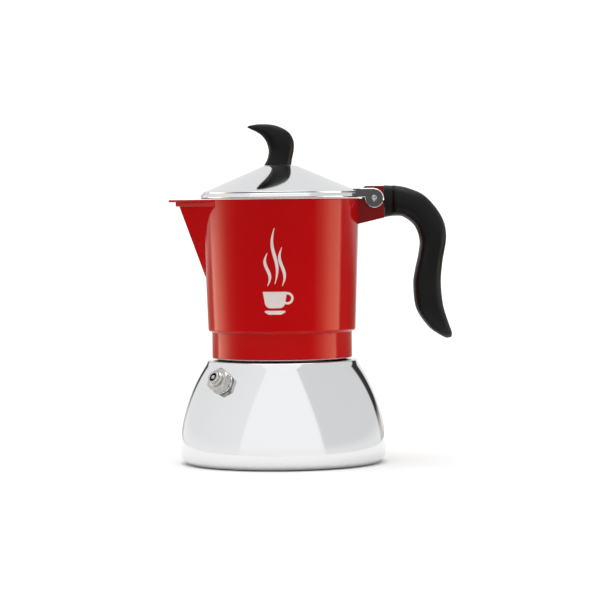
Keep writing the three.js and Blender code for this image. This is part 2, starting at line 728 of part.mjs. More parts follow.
function collectorBody() {
  const skirtBottom = BOILER_HEIGHT + SKIRT_GAP;
  const floorR = bodyRadius(FLOOR) - BODY_WALL;
  const outside = turned([
    [0, CEILING],
    [GASKET_OUTER + FIT, CEILING],
    [GASKET_OUTER + FIT, GASKET_BOTTOM + 2 * SEAT],
    [SKIRT_BORE, GASKET_BOTTOM + SEAT],
    [SKIRT_BORE, skirtBottom + FINE_EDGE],
    [SKIRT_BORE + FINE_EDGE, skirtBottom],
    [SKIRT_RADIUS - FINE_EDGE, skirtBottom],
    [SKIRT_RADIUS, skirtBottom + FINE_EDGE],
    [SKIRT_RADIUS, BODY_FOOT_Z],
    ...arc(BODY_FOOT - BODY_CORNER, BODY_FOOT_Z + BODY_CORNER, BODY_CORNER, -90, 0, 4),
    [BODY_RIM, RIM],
    [0, RIM],
  ]);
  const inside = turned([
    [0, FLOOR],
    ...arc(floorR - FLOOR_FILLET, FLOOR + FLOOR_FILLET, FLOOR_FILLET, -90, 0, 4),
    [BODY_RIM - BODY_WALL, RIM],
    [BODY_RIM - BODY_WALL, RIM + THROUGH],
    [0, RIM + THROUGH],
  ]);
  const spoutTop = RIM - LIP_HEIGHT - STEP_HEIGHT;
  const sideTipX = -(BODY_RIM + SPOUT_REACH);
  const spout = join(
    spoutWedge(0, spoutTop),
    beak(sideTipX - STEP_REACH, spoutTop - LAP, RIM - LIP_HEIGHT),
    beak(sideTipX - STEP_REACH - LIP_REACH, RIM - LIP_HEIGHT - LAP, RIM),
  );
  const chamber = ring(0, GASKET_INNER - THROUGH, CEILING - THROUGH, CEILING + CHAMBER_DEPTH);
  const columnHole = ring(0, COLUMN_SPIGOT + FIT, CEILING, FLOOR + THROUGH, SMALL_ROUND);
  const thread = threadRidge(SKIRT_BORE, SKIRT_CREST, skirtBottom + THREAD_LEAD_IN - SKIRT_GAP);
  const channel = spoutWedge(SPOUT_WALL, RIM + THROUGH);
  const open = cut(join(outside, spout), inside, channel, chamber, columnHole);
  return join(open, lug(), thread);
}

function coffeeColumn() {
  const foot = FLOOR + SEAT;
  const top = FLOOR + COLUMN_HEIGHT;
  const tube = turned(
    [
      [COLUMN_BORE, CEILING + CHAMBER_DEPTH + SEAT],
      [COLUMN_SPIGOT, CEILING + CHAMBER_DEPTH + SEAT],
      [COLUMN_SPIGOT, foot],
      [COLUMN_FOOT + COLUMN_FLANGE, foot],
      [COLUMN_FOOT + COLUMN_FLANGE, foot + COLUMN_FLANGE_HEIGHT],
      [COLUMN_FOOT, foot + COLUMN_FLANGE_HEIGHT + COLUMN_FILLET],
      [COLUMN_TOP, top - COLUMN_NOSE],
      [COLUMN_TOP - COLUMN_NOSE_INSET, top],
      [COLUMN_CAP_HOLE, top],
      [COLUMN_CAP_HOLE, top - COLUMN_CAP],
      [COLUMN_BORE, top - COLUMN_CAP - BITE],
    ],
    SMALL_ROUND,
  );
  const cap = ring(0, COLUMN_CAP_RADIUS, top - COLUMN_CAP, top, SMALL_ROUND);
  const half = COLUMN_SLOT / 2;
  const slot = box(
    [-2 * COLUMN_FOOT, -half, top - SLOT_LOW],
    [2 * COLUMN_FOOT, half, top - SLOT_HIGH],
  );
  return cut(join(tube, cap), slot);
}

// ---- Handle ----

// Stations down the handle: outer edge, inner edge and half width, from the lug's end and the rim.
const HANDLE_STATIONS = [
  { outer: [0, LUG_TOP + 0.3], inner: [0, -LUG_END_DEPTH + 0.2], half: LUG_WIDTH / 2 },
  { outer: [3.9, 6.5], inner: [3.9, -9.6], half: LUG_WIDTH / 2 },
  { outer: [5.9, 6.5], inner: [5.5, -9.4], half: 9 },
  { outer: [12.5, 5.2], inner: [10.2, -10.2], half: 10.6 },
  { outer: [21.8, 0.7], inner: [15.8, -14.7], half: 11 },
  { outer: [30.2, -10], inner: [18.5, -22], half: 11 },
  { outer: [32.6, -20.5], inner: [17.9, -29.5], half: 10.8 },
  { outer: [30.5, -34], inner: [15.9, -38.8], half: 10.5 },
  { outer: [29.6, -45], inner: [15, -46.6], half: 10.2 },
  { outer: [30.7, -57], inner: [16.5, -58.8], half: 9.8 },
  { outer: [33.5, -66.5], inner: [22.5, -68.1], half: 8.4 },
  { outer: [35.2, -71.4], inner: [28, -72.4], half: 5.8 },
  { outer: [35, -74.2], inner: [32.4, -74.7], half: 1.6 },
];

// Stations of the knob: back edge, front edge and half width, from the axis and the lid's pad.
const KNOB_STATIONS = [
  { outer: [5.8, 0.2], inner: [-8.6, 0.2], half: 6.2 },
  { outer: [6.3, 3.4], inner: [-6.8, 3.6], half: 5.8 },
  { outer: [7.3, 8.4], inner: [-6.1, 7.8], half: 5.6 },
  { outer: [7.1, 13.3], inner: [-7.2, 12.3], half: 5.6 },
  { outer: [4.2, 18], inner: [-9.4, 15.6], half: 5.2 },
  { outer: [-2.6, 21.3], inner: [-12.4, 17.8], half: 4.3 },
  { outer: [-10.6, 22], inner: [-15.3, 19.2], half: 2.9 },
  { outer: [-16.6, 21.2], inner: [-17.5, 20.4], half: 0.7 },
];

const splineOf = (points) => new THREE.SplineCurve(points.map(([x, y]) => new THREE.Vector2(x, y)));

// A bar whose sections span an outer and an inner edge in the XZ plane and bulge to a half width in Y.
function bar(stations, x, z, steps, squareness) {
  const outer = splineOf(stations.map((s) => s.outer));
  const inner = splineOf(stations.map((s) => s.inner));
  const width = splineOf(stations.map((s, i) => [i, s.half]));
  const round = (value) => Math.sign(value) * Math.abs(value) ** (2 / squareness);
  const rings = [];
  for (let i = 0; i <= steps; i++) {
    const a = outer.getPoint(i / steps);
    const b = inner.getPoint(i / steps);
    const half = width.getPoint(i / steps).y;
    const middle = a.clone().add(b).multiplyScalar(0.5);
    const reach = a.clone().sub(middle);
    const section = [];
    for (let j = 0; j < SECTION_SIDES; j++) {
      const angle = (2 * Math.PI * j) / SECTION_SIDES;
      const along = round(Math.cos(angle));
      const point = middle.clone().addScaledVector(reach, along);
      section.push(new THREE.Vector3(x + point.x, half * round(Math.sin(angle)), z + point.y));
    }
    rings.push(section);
  }
  return skinned(rings);
}

const HANDLE_SCREW_X = LUG_END + SCREW_SETBACK;
const SCREW_FACE = RIM - LUG_END_DEPTH + SCREW_RECESS; // where the screw's head seats, inside the handle

function handleScrewHole(radius, low, high) {
  const hole = new THREE.CylinderGeometry(radius, radius, high - low, SMALL_ROUND);
  return solid(hole.rotateX(Math.PI / 2).translate(HANDLE_SCREW_X, 0, (low + high) / 2));
}

function handle() {
  const grip = bar(HANDLE_STATIONS, LUG_END + SEAT, RIM, HANDLE_SECTIONS, HANDLE_SQUARENESS);
  const half = TONGUE_WIDTH / 2 + FIT;
  const socket = box(
    [LUG_END - THROUGH, -half, RIM + TONGUE_TOP - TONGUE_HEIGHT - FIT],
    [LUG_END + TONGUE_LENGTH + FIT, half, RIM + TONGUE_TOP + FIT],
  );
  const below = SCREW_FACE - COUNTERBORE_RUN;
  const counterbore = handleScrewHole(HANDLE_SCREW_HEAD + FIT, below, SCREW_FACE);
  const shaft = handleScrewHole(HANDLE_SCREW_RADIUS + FIT, below, RIM);
  return cut(grip, socket, counterbore, shaft);
}

function handleScrew() {
  const headLow = SCREW_FACE - SEAT - SCREW_HEAD_HEIGHT;
  const head = handleScrewHole(HANDLE_SCREW_HEAD, headLow, SCREW_FACE - SEAT);
  const shank = handleScrewHole(HANDLE_SCREW_RADIUS, SCREW_FACE - THROUGH, RIM + THROUGH);
  const slot = box(
    [HANDLE_SCREW_X - 2 * HANDLE_SCREW_HEAD, -SCREW_SLOT, headLow - THROUGH],
    [HANDLE_SCREW_X + 2 * HANDLE_SCREW_HEAD, SCREW_SLOT, headLow + SCREW_SLOT_DEPTH],
  );
  return cut(join(head, shank), slot);
}

function hingePin() {
  const end = LUG_WIDTH / 2 + SIDE_PLAY + EAR_SHEET + PIN_PROUD;
  const dimple = acrossHinge(PIN_RADIUS * DIMPLE, end + THROUGH);
  const core = acrossHinge(PIN_RADIUS, end - DIMPLE_DEPTH);
  return join(cut(acrossHinge(PIN_RADIUS, end), dimple), core);
}

// ---- Lid ----

function ear(side) {
  const inner = LUG_WIDTH / 2 + SIDE_PLAY;
  const start = Math.asin((LID_BOTTOM - RIM) / EAR_RADIUS);
  const outline = new THREE.Shape()
    .moveTo(LID_RADIUS - HEM_CHORD - BITE, LID_BOTTOM)
    .lineTo(PIN_X - EAR_RADIUS * Math.cos(start), LID_BOTTOM)
    .absarc(PIN_X, RIM, EAR_RADIUS, Math.PI - start, 2.5 * Math.PI, false)
    .lineTo(PIN_X, TAB_TOP)
    .lineTo(LID_RADIUS - HEM_CHORD - BITE, TAB_TOP);
  return side > 0 ? slab(outline, inner, inner + EAR_SHEET) : slab(outline, -inner - EAR_SHEET, -inner);
}

function lidShell() {
  const sheet = LID_SHEET / Math.cos(THREE.MathUtils.degToRad(LID_SLOPE));
  const hemIn = LID_RADIUS - HEM_WIDTH;
  const hole = KNOB_SCREW_RADIUS + FIT;
  const cone = turned([
    [hole, PAD_Z - LID_SHEET],
    [LID_PAD - SEAT, PAD_Z - LID_SHEET],
    [hemIn, CONE_FOOT_Z + (CONE_FOOT - hemIn) * LID_TAN - sheet],
    [hemIn, LID_BOTTOM + EDGE],
    [hemIn + EDGE, LID_BOTTOM],
    [LID_RADIUS - EDGE, LID_BOTTOM],
    [LID_RADIUS, LID_BOTTOM + EDGE],
    [LID_RADIUS, LID_BOTTOM + HEM_HEIGHT],
    [CONE_FOOT, CONE_FOOT_Z],
    [LID_PAD, PAD_Z],
    [hole, PAD_Z],
  ]);
  const outer = LUG_WIDTH / 2 + SIDE_PLAY + EAR_SHEET;
  // The tab ends where its lower corner clears the lug's round nose as the lid swings.
  const tabLow = EAR_TOP - EAR_SHEET;
  const tabEnd = PIN_X - Math.sqrt((LUG_NOSE_ROUND + SWING_GAP) ** 2 - tabLow ** 2);
  const tabStart = CONE_FOOT - (TAB_TOP - CONE_FOOT_Z) / LID_TAN;
  const tab = box([tabStart, -outer, RIM + tabLow], [tabEnd, outer, TAB_TOP]);
  const notchX = PIN_X - LUG_NOSE_ROUND - SWING_GAP - SEAT;
  const notchHalf = LUG_WIDTH / 2 + SIDE_PLAY;
  const notch = box([notchX, -notchHalf, LID_BOTTOM - THROUGH], [PIN_X, notchHalf, RIM + tabLow]);
  // The hem stops short of the ears, so the lid's edge is straight there.
  const chordX = LID_RADIUS - HEM_CHORD;
  const chord = box([chordX, -LID_RADIUS / 2, LID_BOTTOM - THROUGH], [PIN_X, LID_RADIUS / 2, TAB_TOP]);
  const pinHole = acrossHinge(PIN_RADIUS + FIT, outer + THROUGH);
  return cut(join(cut(cone, notch, chord), tab, ear(1), ear(-1)), pinHole);
}

function lidKnob() {
  const claw = bar(KNOB_STATIONS, 0, PAD_Z, KNOB_SECTIONS, KNOB_SQUARENESS);
  const pocketTop = PAD_Z + 2 * SEAT + INSERT_LENGTH + FIT;
  const pocket = ring(0, INSERT_RADIUS + FIT, PAD_Z - THROUGH, pocketTop, SMALL_ROUND);
  return cut(claw, pocket);
}

function knobInsert() {
  const low = PAD_Z + 2 * SEAT;
  const bore = KNOB_SCREW_RADIUS + FIT;
  return ring(bore, INSERT_RADIUS, low, low + INSERT_LENGTH, SMALL_ROUND);
}

const WASHER_TOP = PAD_Z - LID_SHEET - SEAT;

function knobWasher() {
  const hole = KNOB_SCREW_RADIUS + FIT;
  return ring(hole, KNOB_WASHER_RADIUS, WASHER_TOP - LID_SHEET, WASHER_TOP, SMALL_ROUND);
}

function knobScrew() {
  const headTop = WASHER_TOP - LID_SHEET - SEAT;
  const headLow = headTop - KNOB_SCREW_HEAD_HEIGHT;
  const screw = turned(
    [
      [0, headLow],
      [KNOB_SCREW_HEAD - EDGE, headLow],
      [KNOB_SCREW_HEAD, headLow + EDGE],
      [KNOB_SCREW_HEAD, headTop],
      [KNOB_SCREW_RADIUS, headTop],
      [KNOB_SCREW_RADIUS, PAD_Z + INSERT_LENGTH - THROUGH],
      [0, PAD_Z + INSERT_LENGTH - THROUGH],
    ],
    SMALL_ROUND,
  );
  const reach = 2 * KNOB_SCREW_HEAD;
  const slotTop = headLow + SCREW_SLOT_DEPTH;
  const bladeSlot = box([-SCREW_SLOT, -reach, headLow - THROUGH], [SCREW_SLOT, reach, slotTop]);
  const crossSlot = box([-reach, -SCREW_SLOT, headLow - THROUGH], [reach, SCREW_SLOT, slotTop]);
  return cut(screw, bladeSlot, crossSlot);
}

// ---- Assembly ----

const boiler = new THREE.Group();
const frame = valveFrame();
boiler.add(
  piece("boiler_shell", boilerShell(frame), STEEL),
  piece("boiler_base", boilerBase(), STEEL),
  valve(frame),
);

const funnel = new THREE.Group();
funnel.add(
  piece("funnel_cup", funnelCup(), ALUMINIUM),
  piece("funnel_stem", funnelStem(), ALUMINIUM),
  piece("funnel_screen", funnelScreen(), ALUMINIUM),
);

const collector = new THREE.Group();
collector.add(
  piece("gasket", gasket(), SILICONE),
  piece("filter_plate", filterPlate(), ALUMINIUM),
  piece("collector_body", collectorBody(), RED),
  piece("coffee_column", coffeeColumn(), ALUMINIUM),
  piece("handle", handle(), BLACK),
  piece("handle_screw", handleScrew(), STEEL),
  piece("hinge_pin", hingePin(), STEEL),
);

const lid = new THREE.Group();
lid.add(
  piece("lid_shell", lidShell(), STEEL),
  piece("lid_knob", lidKnob(), BLACK),
  piece("knob_insert", knobInsert(), BRASS),
  piece("knob_washer", knobWasher(), STEEL),
  piece("knob_screw", knobScrew(), STEEL),
);

const mokaPot = new THREE.Group();
mokaPot.add(boiler, funnel, collector, lid);
export default mokaPot;
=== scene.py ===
import json
import math

import bmesh
import bpy
from bpy.props import FloatProperty, FloatVectorProperty, IntProperty, PointerProperty
from mathutils import Matrix, Vector


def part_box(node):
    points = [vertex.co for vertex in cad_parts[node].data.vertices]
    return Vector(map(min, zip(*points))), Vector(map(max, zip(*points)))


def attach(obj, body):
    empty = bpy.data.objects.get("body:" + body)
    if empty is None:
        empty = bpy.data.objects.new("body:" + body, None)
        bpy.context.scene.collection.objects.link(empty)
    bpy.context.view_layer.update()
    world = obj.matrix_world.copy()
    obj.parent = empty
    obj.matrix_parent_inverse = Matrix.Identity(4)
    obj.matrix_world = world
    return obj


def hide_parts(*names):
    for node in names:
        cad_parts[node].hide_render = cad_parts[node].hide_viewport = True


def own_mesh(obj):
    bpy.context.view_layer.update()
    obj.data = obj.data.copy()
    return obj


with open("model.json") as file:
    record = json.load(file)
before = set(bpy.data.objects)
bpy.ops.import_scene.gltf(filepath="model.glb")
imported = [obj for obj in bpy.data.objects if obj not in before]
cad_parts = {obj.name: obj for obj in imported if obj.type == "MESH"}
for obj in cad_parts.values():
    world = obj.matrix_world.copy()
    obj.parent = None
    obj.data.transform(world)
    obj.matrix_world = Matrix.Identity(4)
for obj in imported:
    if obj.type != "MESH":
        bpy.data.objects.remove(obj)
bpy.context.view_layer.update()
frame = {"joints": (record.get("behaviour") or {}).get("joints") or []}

bl_info = {
    "name": "Moka Pot Builder",
    "version": (1, 0, 0),
    "blender": (4, 5, 0),
    "location": "3D View > Sidebar > Moka Pot",
    "description": "Builds a stovetop coffee maker piece by piece, with its finishes and a small studio",
    "category": "Add Mesh",
}

MM = 0.001  # one millimetre in metres
WELD = 2e-6  # points nearer than this become one
BODY_SIDES = 224  # facets around the boiler, the collector and the lid
RING_SIDES = 160  # around the funnel and the seal
DISC_SIDES = 128  # around a pierced disc
COLUMN_SIDES = 96
PART_SIDES = 64  # around a small part
SCREW_SIDES = 48  # around a screw, a pin or a grip
FILLET_STEPS = 6
ROUNDED_FROM = 35  # degrees: edges sharper than this are rounded
SOFT_ANGLE = 28  # degrees: edges blunter than this are shaded smooth
THREAD_TURNS = 2.5
THREAD_PITCH = 3.0
THREAD_STEPS = 240


# ---- Colours and sizes a user would change ----


def linear(hex_colour):
    """An sRGB colour such as "#a81014" as linear red, green and blue."""
    channels = [int(hex_colour[i : i + 2], 16) / 255 for i in (1, 3, 5)]
    return [c / 12.92 if c <= 0.04045 else ((c + 0.055) / 1.055) ** 2.4 for c in channels]


def colour_property(name, description, hex_colour):
    return FloatVectorProperty(
        name=name, description=description, subtype="COLOR", size=3, min=0, max=1, default=linear(hex_colour)
    )


def length_property(name, description, default):
    return FloatProperty(name=name, description=description, unit="LENGTH", subtype="DISTANCE", default=default)


class MokaSizes(bpy.types.PropertyGroup):
    neck_top: length_property("Neck top", "Height of the boiler's threaded neck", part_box("boiler_shell")[1].z)
    rim_height: length_property("Rim height", "Height of the collector's rim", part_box("handle_screw")[1].z - MM)
    lid_radius: length_property("Lid radius", "Outer radius of the lid's hem", -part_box("lid_shell")[0].x)
    base_radius: length_property("Base radius", "Radius of the base disc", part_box("boiler_base")[1].x)
    body_sides: IntProperty(name="Facets", description="Facets around a large turned piece", default=BODY_SIDES)


class MokaColours(bpy.types.PropertyGroup):
    steel: colour_property("Steel", "Polished stainless steel", "#e4e5e6")
    base_steel: colour_property("Base steel", "Brushed ferritic steel of the base disc", "#b9babb")
    enamel: colour_property("Enamel", "Baked enamel on the collector", "#b20d11")
    # The lug's enamel is a darker red: painted shade on the lug's flat sides.
    lug_enamel: colour_property("Lug enamel", "Enamel on the rougher casting of the hinge lug", "#76080b")
    # The ears' flats are painted dark grey: a painted dark reflection on their flat sides.
    ear_steel: colour_property("Ear steel", "Unpolished flats of the lid's hinge ears", "#5c5c5f")
    aluminium: colour_property("Aluminium", "Bare and pressed aluminium", "#d0d1d0")
    nylon: colour_property("Nylon", "Moulded grips", "#0d0e0e")
    silicone: colour_property("Silicone", "Seal and washer", "#e6e3da")
    brass: colour_property("Brass", "Threaded insert", "#c9a353")
    zinc: colour_property("Zinc", "Plated screws", "#b5b8b6")
    valve: colour_property("Valve", "Turned valve parts", "#bdbcb9")
    # On the retaining ring this dark coat also stands as painted shade in the valve's bore.
    spring: colour_property("Spring", "Coated spring and retaining ring", "#2f2f31")
    ink: colour_property("Ink", "Printed emblem", "#d9cfcb")
    paper: colour_property("Paper", "The studio's floor", "#f4f4f3")


# ---- Shaping ----


def cleared():
    """Leave edit mode with nothing selected."""
    if bpy.context.mode != "OBJECT":
        bpy.ops.object.mode_set(mode="OBJECT")
    bpy.ops.object.select_all(action="DESELECT")


def active(piece):
    cleared()
    piece.select_set(True)
    bpy.context.view_layer.objects.active = piece
    return piece


def named(name):
    """The newest primitive, with its place put into its mesh."""
    bpy.ops.object.transform_apply(location=True, rotation=True, scale=True)
    piece = bpy.context.active_object
    piece.name = name
    piece.data.name = name
    return piece


def select_whole():
    bpy.ops.mesh.select_all(action="SELECT")


def editing():
    bpy.ops.object.mode_set(mode="EDIT")
    select_whole()


def closed():
    """Merge doubled points, face everything outwards and leave edit mode."""
    select_whole()
    bpy.ops.mesh.remove_doubles(threshold=WELD)
    bpy.ops.mesh.dissolve_degenerate(threshold=WELD)
    bpy.ops.mesh.normals_make_consistent(inside=False)
    bpy.ops.object.mode_set(mode="OBJECT")


def smooth(piece, angle=SOFT_ANGLE):
    active(piece)
    bpy.ops.object.shade_smooth_by_angle(angle=math.radians(angle))
    return piece


def creased(piece, angle, area):
    """Keep the edge between two broad faces sharp where they meet at more than an angle, areas in mm2."""
    active(piece)
    editing()
    mesh = bmesh.from_edit_mesh(piece.data)
    for edge in mesh.edges:
        broad = all(face.calc_area() > area * MM * MM for face in edge.link_faces)
        if broad and len(edge.link_faces) == 2 and edge.calc_face_angle() > math.radians(angle):
            edge.smooth = False
    bmesh.update_edit_mesh(piece.data)
    bpy.ops.object.mode_set(mode="OBJECT")
    return piece


def modified(piece, kind, **settings):
    """Apply a modifier to a piece."""
    active(piece)
    change = piece.modifiers.new(kind.title(), kind)
    for name, value in settings.items():
        setattr(change, name, value)
    bpy.ops.object.modifier_apply(modifier=change.name)
    return piece


def weighted(piece):
    """Bend each corner's normal to its largest faces, so that flat and turned faces shade cleanly."""
    return modified(piece, "WEIGHTED_NORMAL", keep_sharp=True)


def traced(name, points):
    """A closed outline of (X, Z) points in mm at Y = 0: one point, extruded along the outline."""
    cleared()
    (x, z) = points[0]
    bpy.ops.mesh.primitive_plane_add(size=MM, location=(x * MM, 0, z * MM))
    piece = named(name)
    editing()
    bpy.ops.mesh.merge(type="CENTER")
    for (x0, z0), (x1, z1) in zip(points, points[1:] + points[:1]):
        step = ((x1 - x0) * MM, 0, (z1 - z0) * MM)
        bpy.ops.mesh.extrude_vertices_move(TRANSFORM_OT_translate={"value": step})
    select_whole()
    bpy.ops.mesh.remove_doubles(threshold=WELD)
    return piece


def turned(name, points, sides):
    """Spin a profile of (radius, height) points in mm once round the Z axis."""
    piece = traced(name, points)
    select_whole()
    bpy.ops.mesh.spin(steps=sides, angle=2 * math.pi, center=(0, 0, 0), axis=(0, 0, 1))
    closed()
    return piece


def slab(name, points, low, high, edge=0.0):
    """Fill an outline, extrude it along Y between two places in mm and round its edges."""
    piece = traced(name, points)
    bpy.ops.mesh.edge_face_add()
    select_whole()
    bpy.ops.transform.translate(value=(0, low * MM, 0))
    bpy.ops.mesh.extrude_region_move(TRANSFORM_OT_translate={"value": (0, (high - low) * MM, 0)})
    closed()
    if edge:
        rounded(piece, edge)
    return piece


def block(name, low, high, edge=0.0):
    """A box between two corners in mm."""
    outline = [(low[0], low[2]), (high[0], low[2]), (high[0], high[2]), (low[0], high[2])]
    return slab(name, outline, low[1], high[1], edge)


def rounded(piece, width, segments=3):
    limit = math.radians(ROUNDED_FROM)
    return modified(
        piece, "BEVEL", width=width * MM, segments=segments, limit_method="ANGLE", angle_limit=limit,
        use_clamp_overlap=True,
    )


def combined(piece, operation, *others):
    """Join, cut or intersect closed shapes. The others are used up."""
    for other in others:
        modified(piece, "BOOLEAN", operation=operation, solver="EXACT", object=other)
        bpy.data.objects.remove(other)
    if not piece.data.polygons:
        raise RuntimeError(f"{piece.name} is empty after its {operation.lower()}")
    return piece


def joined(piece, *others):
    """Put the others' meshes beside a piece's own, uncut."""
    active(piece)
    for other in others:
        other.select_set(True)
    bpy.ops.object.join()
    return piece


def placed(piece, matrix):
    """Move a finished mesh to its place, which stays in the mesh."""
    active(piece)
    piece.matrix_world = matrix
    bpy.ops.object.transform_apply(location=True, rotation=True, scale=True)
    return piece


def arc(x, z, radius, start, end, steps):
    """Points on an arc, angles in degrees."""
    angles = [math.radians(start + (end - start) * i / steps) for i in range(steps + 1)]
    return [(x + radius * math.cos(a), z + radius * math.sin(a)) for a in angles]


def filleted(points):
    """A polyline of (X, Z) or (X, Z, fillet) corners with its fillets drawn as arcs."""
    out = []
    for i, point in enumerate(points):
        corner = Vector(point[:2])
        if len(point) == 2:
            out.append(tuple(corner))
            continue
        before = (Vector(points[i - 1][:2]) - corner).normalized()
        after = (Vector(points[(i + 1) % len(points)][:2]) - corner).normalized()
        half = before.angle(after) / 2
        centre = corner + (before + after).normalized() * point[2] / math.sin(half)
        start = corner + before * point[2] / math.tan(half) - centre
        turn = start.angle_signed(corner + after * point[2] / math.tan(half) - centre)
        for step in range(FILLET_STEPS + 1):
            spoke = Matrix.Rotation(-turn * step / FILLET_STEPS, 2) @ start
            out.append(tuple(centre + spoke))
    return out


def spline(values, position):
    """A smooth curve through evenly spaced values, read at 0 to 1."""
    place = (len(values) - 1) * position
    i = min(int(place), len(values) - 2)
    t = place - i
    p0, p1 = values[max(i - 1, 0)], values[i]
    p2, p3 = values[i + 1], values[min(i + 2, len(values) - 1)]
    v0, v1 = (p2 - p0) / 2, (p3 - p1) / 2
    return (2 * p1 - 2 * p2 + v0 + v1) * t**3 + (-3 * p1 + 3 * p2 - 2 * v0 - v1) * t**2 + v0 * t + p1


def grip(name, stations, origin, squareness, sections):
    """A moulded bar. Its first section is a circle pulled square, and each next one is extruded from the
    last, turned level, moved, stretched and turned to its slope. A station is an outer and an inner edge
    in X and Z and a half width, in mm from the origin."""
    cleared()
    bpy.ops.mesh.primitive_circle_add(vertices=SCREW_SIDES, radius=MM, fill_type="NGON")
    piece = named(name)
    editing()
    bpy.ops.mesh.select_mode(type="VERT")
    pull_square(piece, squareness)
    columns = [[s[k] for s in stations] for k in range(5)]
    size, slope, place = (1.0, 1.0), 0.0, Vector((0, 0, 0))
    for i in range(sections + 1):
        ox, oz, ix, iz, half = (spline(column, i / sections) for column in columns)
        outer, inner = Vector((ox, 0, oz)), Vector((ix, 0, iz))
        middle = (outer + inner) / 2 + Vector(origin)
        reach = (outer - inner) / 2
        if i:
            bpy.ops.mesh.extrude_region_move(TRANSFORM_OT_translate={"value": (0, 0, 0)})
        bpy.ops.transform.rotate(value=-slope, orient_axis="Y", center_override=place * MM)
        bpy.ops.transform.translate(value=(middle - place) * MM)
        stretch = (reach.length / size[0], half / size[1], 1)
        bpy.ops.transform.resize(value=stretch, center_override=middle * MM)
        slope = math.atan2(reach.z, reach.x)
        bpy.ops.transform.rotate(value=slope, orient_axis="Y", center_override=middle * MM)
        size, place = (reach.length, half), middle
    bpy.ops.mesh.merge(type="CENTER")
    closed()
    return piece


def pull_square(piece, squareness):
    """Pull a circle of points towards a rounded square, one group of eight or four points at a time."""
    mesh = bmesh.from_edit_mesh(piece.data)
    count = len(mesh.verts)
    for k in range(1, count // 4):
        angle = 2 * math.pi * k / count
        wide, deep = math.cos(angle), math.sin(angle)
        mesh = bmesh.from_edit_mesh(piece.data)
        mesh.select_mode = {"VERT"}
        for vert in mesh.verts:
            off = abs(abs(vert.co.x) - MM * wide) + abs(abs(vert.co.y) - MM * deep)
            vert.select_set(off < MM * 1e-3)
        mesh.select_flush_mode()
        bmesh.update_edit_mesh(piece.data)
        power = 2 / squareness
        stretch = (wide**power / wide, deep**power / deep, 1)
        bpy.ops.transform.resize(value=stretch, center_override=(0, 0, 0))
    select_whole()


def coil(name, section, angle, rise, steps):
    """Wind a closed section of (radius, height) points in mm up the Z axis and close both ends."""
    piece = traced(name, section)
    modified(piece, "SCREW", angle=angle, screw_offset=rise * MM, steps=steps, render_steps=steps)
    editing()
    bpy.ops.mesh.fill_holes(sides=len(section))
    closed()
    return piece


def thread(name, section):
    """A ridge as long as the collector's travel on the neck."""
    return coil(name, section, 2 * math.pi * THREAD_TURNS, THREAD_PITCH * THREAD_TURNS, THREAD_STEPS)


def finish_piece(piece, body, look, *nodes, slot=None):
    """Give a piece its finish and tie it to its body and to the nodes it stands for. Its slot is not used."""
    if not piece.data.materials:
        piece.data.materials.append(FINISHES[look])
    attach(piece, body)
    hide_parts(*nodes)


def turned_part(node, points, sides, body, look, place=None):
    """A turned piece that stands for one node, put in its place and finished."""
    piece = smooth(turned(node + "_visual", filleted(points), sides))
    if place is not None:
        placed(piece, place)
    finish_piece(piece, body, look, node)


def paint(piece, looks, choose):
    """Give a piece several finishes. A function picks one by number from a face's centre in mm and normal."""
    piece.data.materials.clear()
    for look in looks:
        piece.data.materials.append(FINISHES[look])
    for face in piece.data.polygons:
        face.material_index = choose(face.center / MM, face.normal)
    return piece


# ---- Finishes ----

LINE_DRIFT = 30  # mm over which a lathe's lines wander
FINISHES = {}


def add(tree, kind, settings=None, links=None):
    """Add a node, set its settings or sockets and link its inputs."""
    node = tree.nodes.new("ShaderNode" + kind)
    for key, value in (settings or {}).items():
        if isinstance(key, str) and hasattr(node, key):
            setattr(node, key, value)
        else:
            node.inputs[key].default_value = value
    for key, source in (links or {}).items():
        tree.links.new(source, node.inputs[key])
    return node


def varied(tree, shader, place, size, roughness, shade, detail):
    """Roughness that drifts between two values and a colour that drifts a little, over a size in mm."""
    noise = {"Scale": 1 / (size * MM), "Detail": detail}
    cloud = add(tree, "TexNoise", noise, {"Vector": place}).outputs["Fac"]
    limits = {"From Min": 0.3, "From Max": 0.7, "To Min": roughness[0], "To Max": roughness[1]}
    spread = add(tree, "MapRange", limits, {"Value": cloud})
    tree.links.new(spread.outputs["Result"], shader.inputs["Roughness"])
    base = shader.inputs["Base Color"].default_value[:3]
    tint = add(tree, "ValToRGB", {}, {"Fac": cloud})
    tint.color_ramp.elements[0].color = (*[c * (1 - shade) for c in base], 1)
    tint.color_ramp.elements[1].color = (*[min(1, c * (1 + shade)) for c in base], 1)
    tree.links.new(tint.outputs["Color"], shader.inputs["Base Color"])


def relief(tree, shader, height, depth):
    """Relief of a depth in mm on the shader's normal."""
    bump = add(tree, "Bump", {"Strength": 1.0, "Distance": depth * MM}, {"Height": height})
    tree.links.new(bump.outputs["Normal"], shader.inputs["Normal"])


def ringed(tree, shader, place, pitch, depth):
    """Fine lines round the Z axis, as a lathe or a mop leaves them, their pitch and depth in mm."""
    parts = add(tree, "SeparateXYZ", {}, {"Vector": place}).outputs
    flat = add(tree, "CombineXYZ", {}, {"X": parts["X"], "Y": parts["Y"]}).outputs["Vector"]
    radius = add(tree, "VectorMath", {"operation": "LENGTH"}, {0: flat}).outputs["Value"]
    line = add(tree, "CombineXYZ", {}, {"X": radius, "Y": parts["Z"]}).outputs["Vector"]
    fine, slow = (
        add(tree, "VectorMath", {"operation": "SCALE", "Scale": 1 / (size * MM)}, {0: source}).outputs["Vector"]
        for size, source in ((pitch, line), (LINE_DRIFT, flat))
    )
    both = add(tree, "VectorMath", {"operation": "ADD"}, {0: fine, 1: slow}).outputs["Vector"]
    lines = add(tree, "TexNoise", {"Scale": 1.0, "Detail": 2.0, "Roughness": 0.6}, {"Vector": both})
    relief(tree, shader, lines.outputs["Fac"], depth)


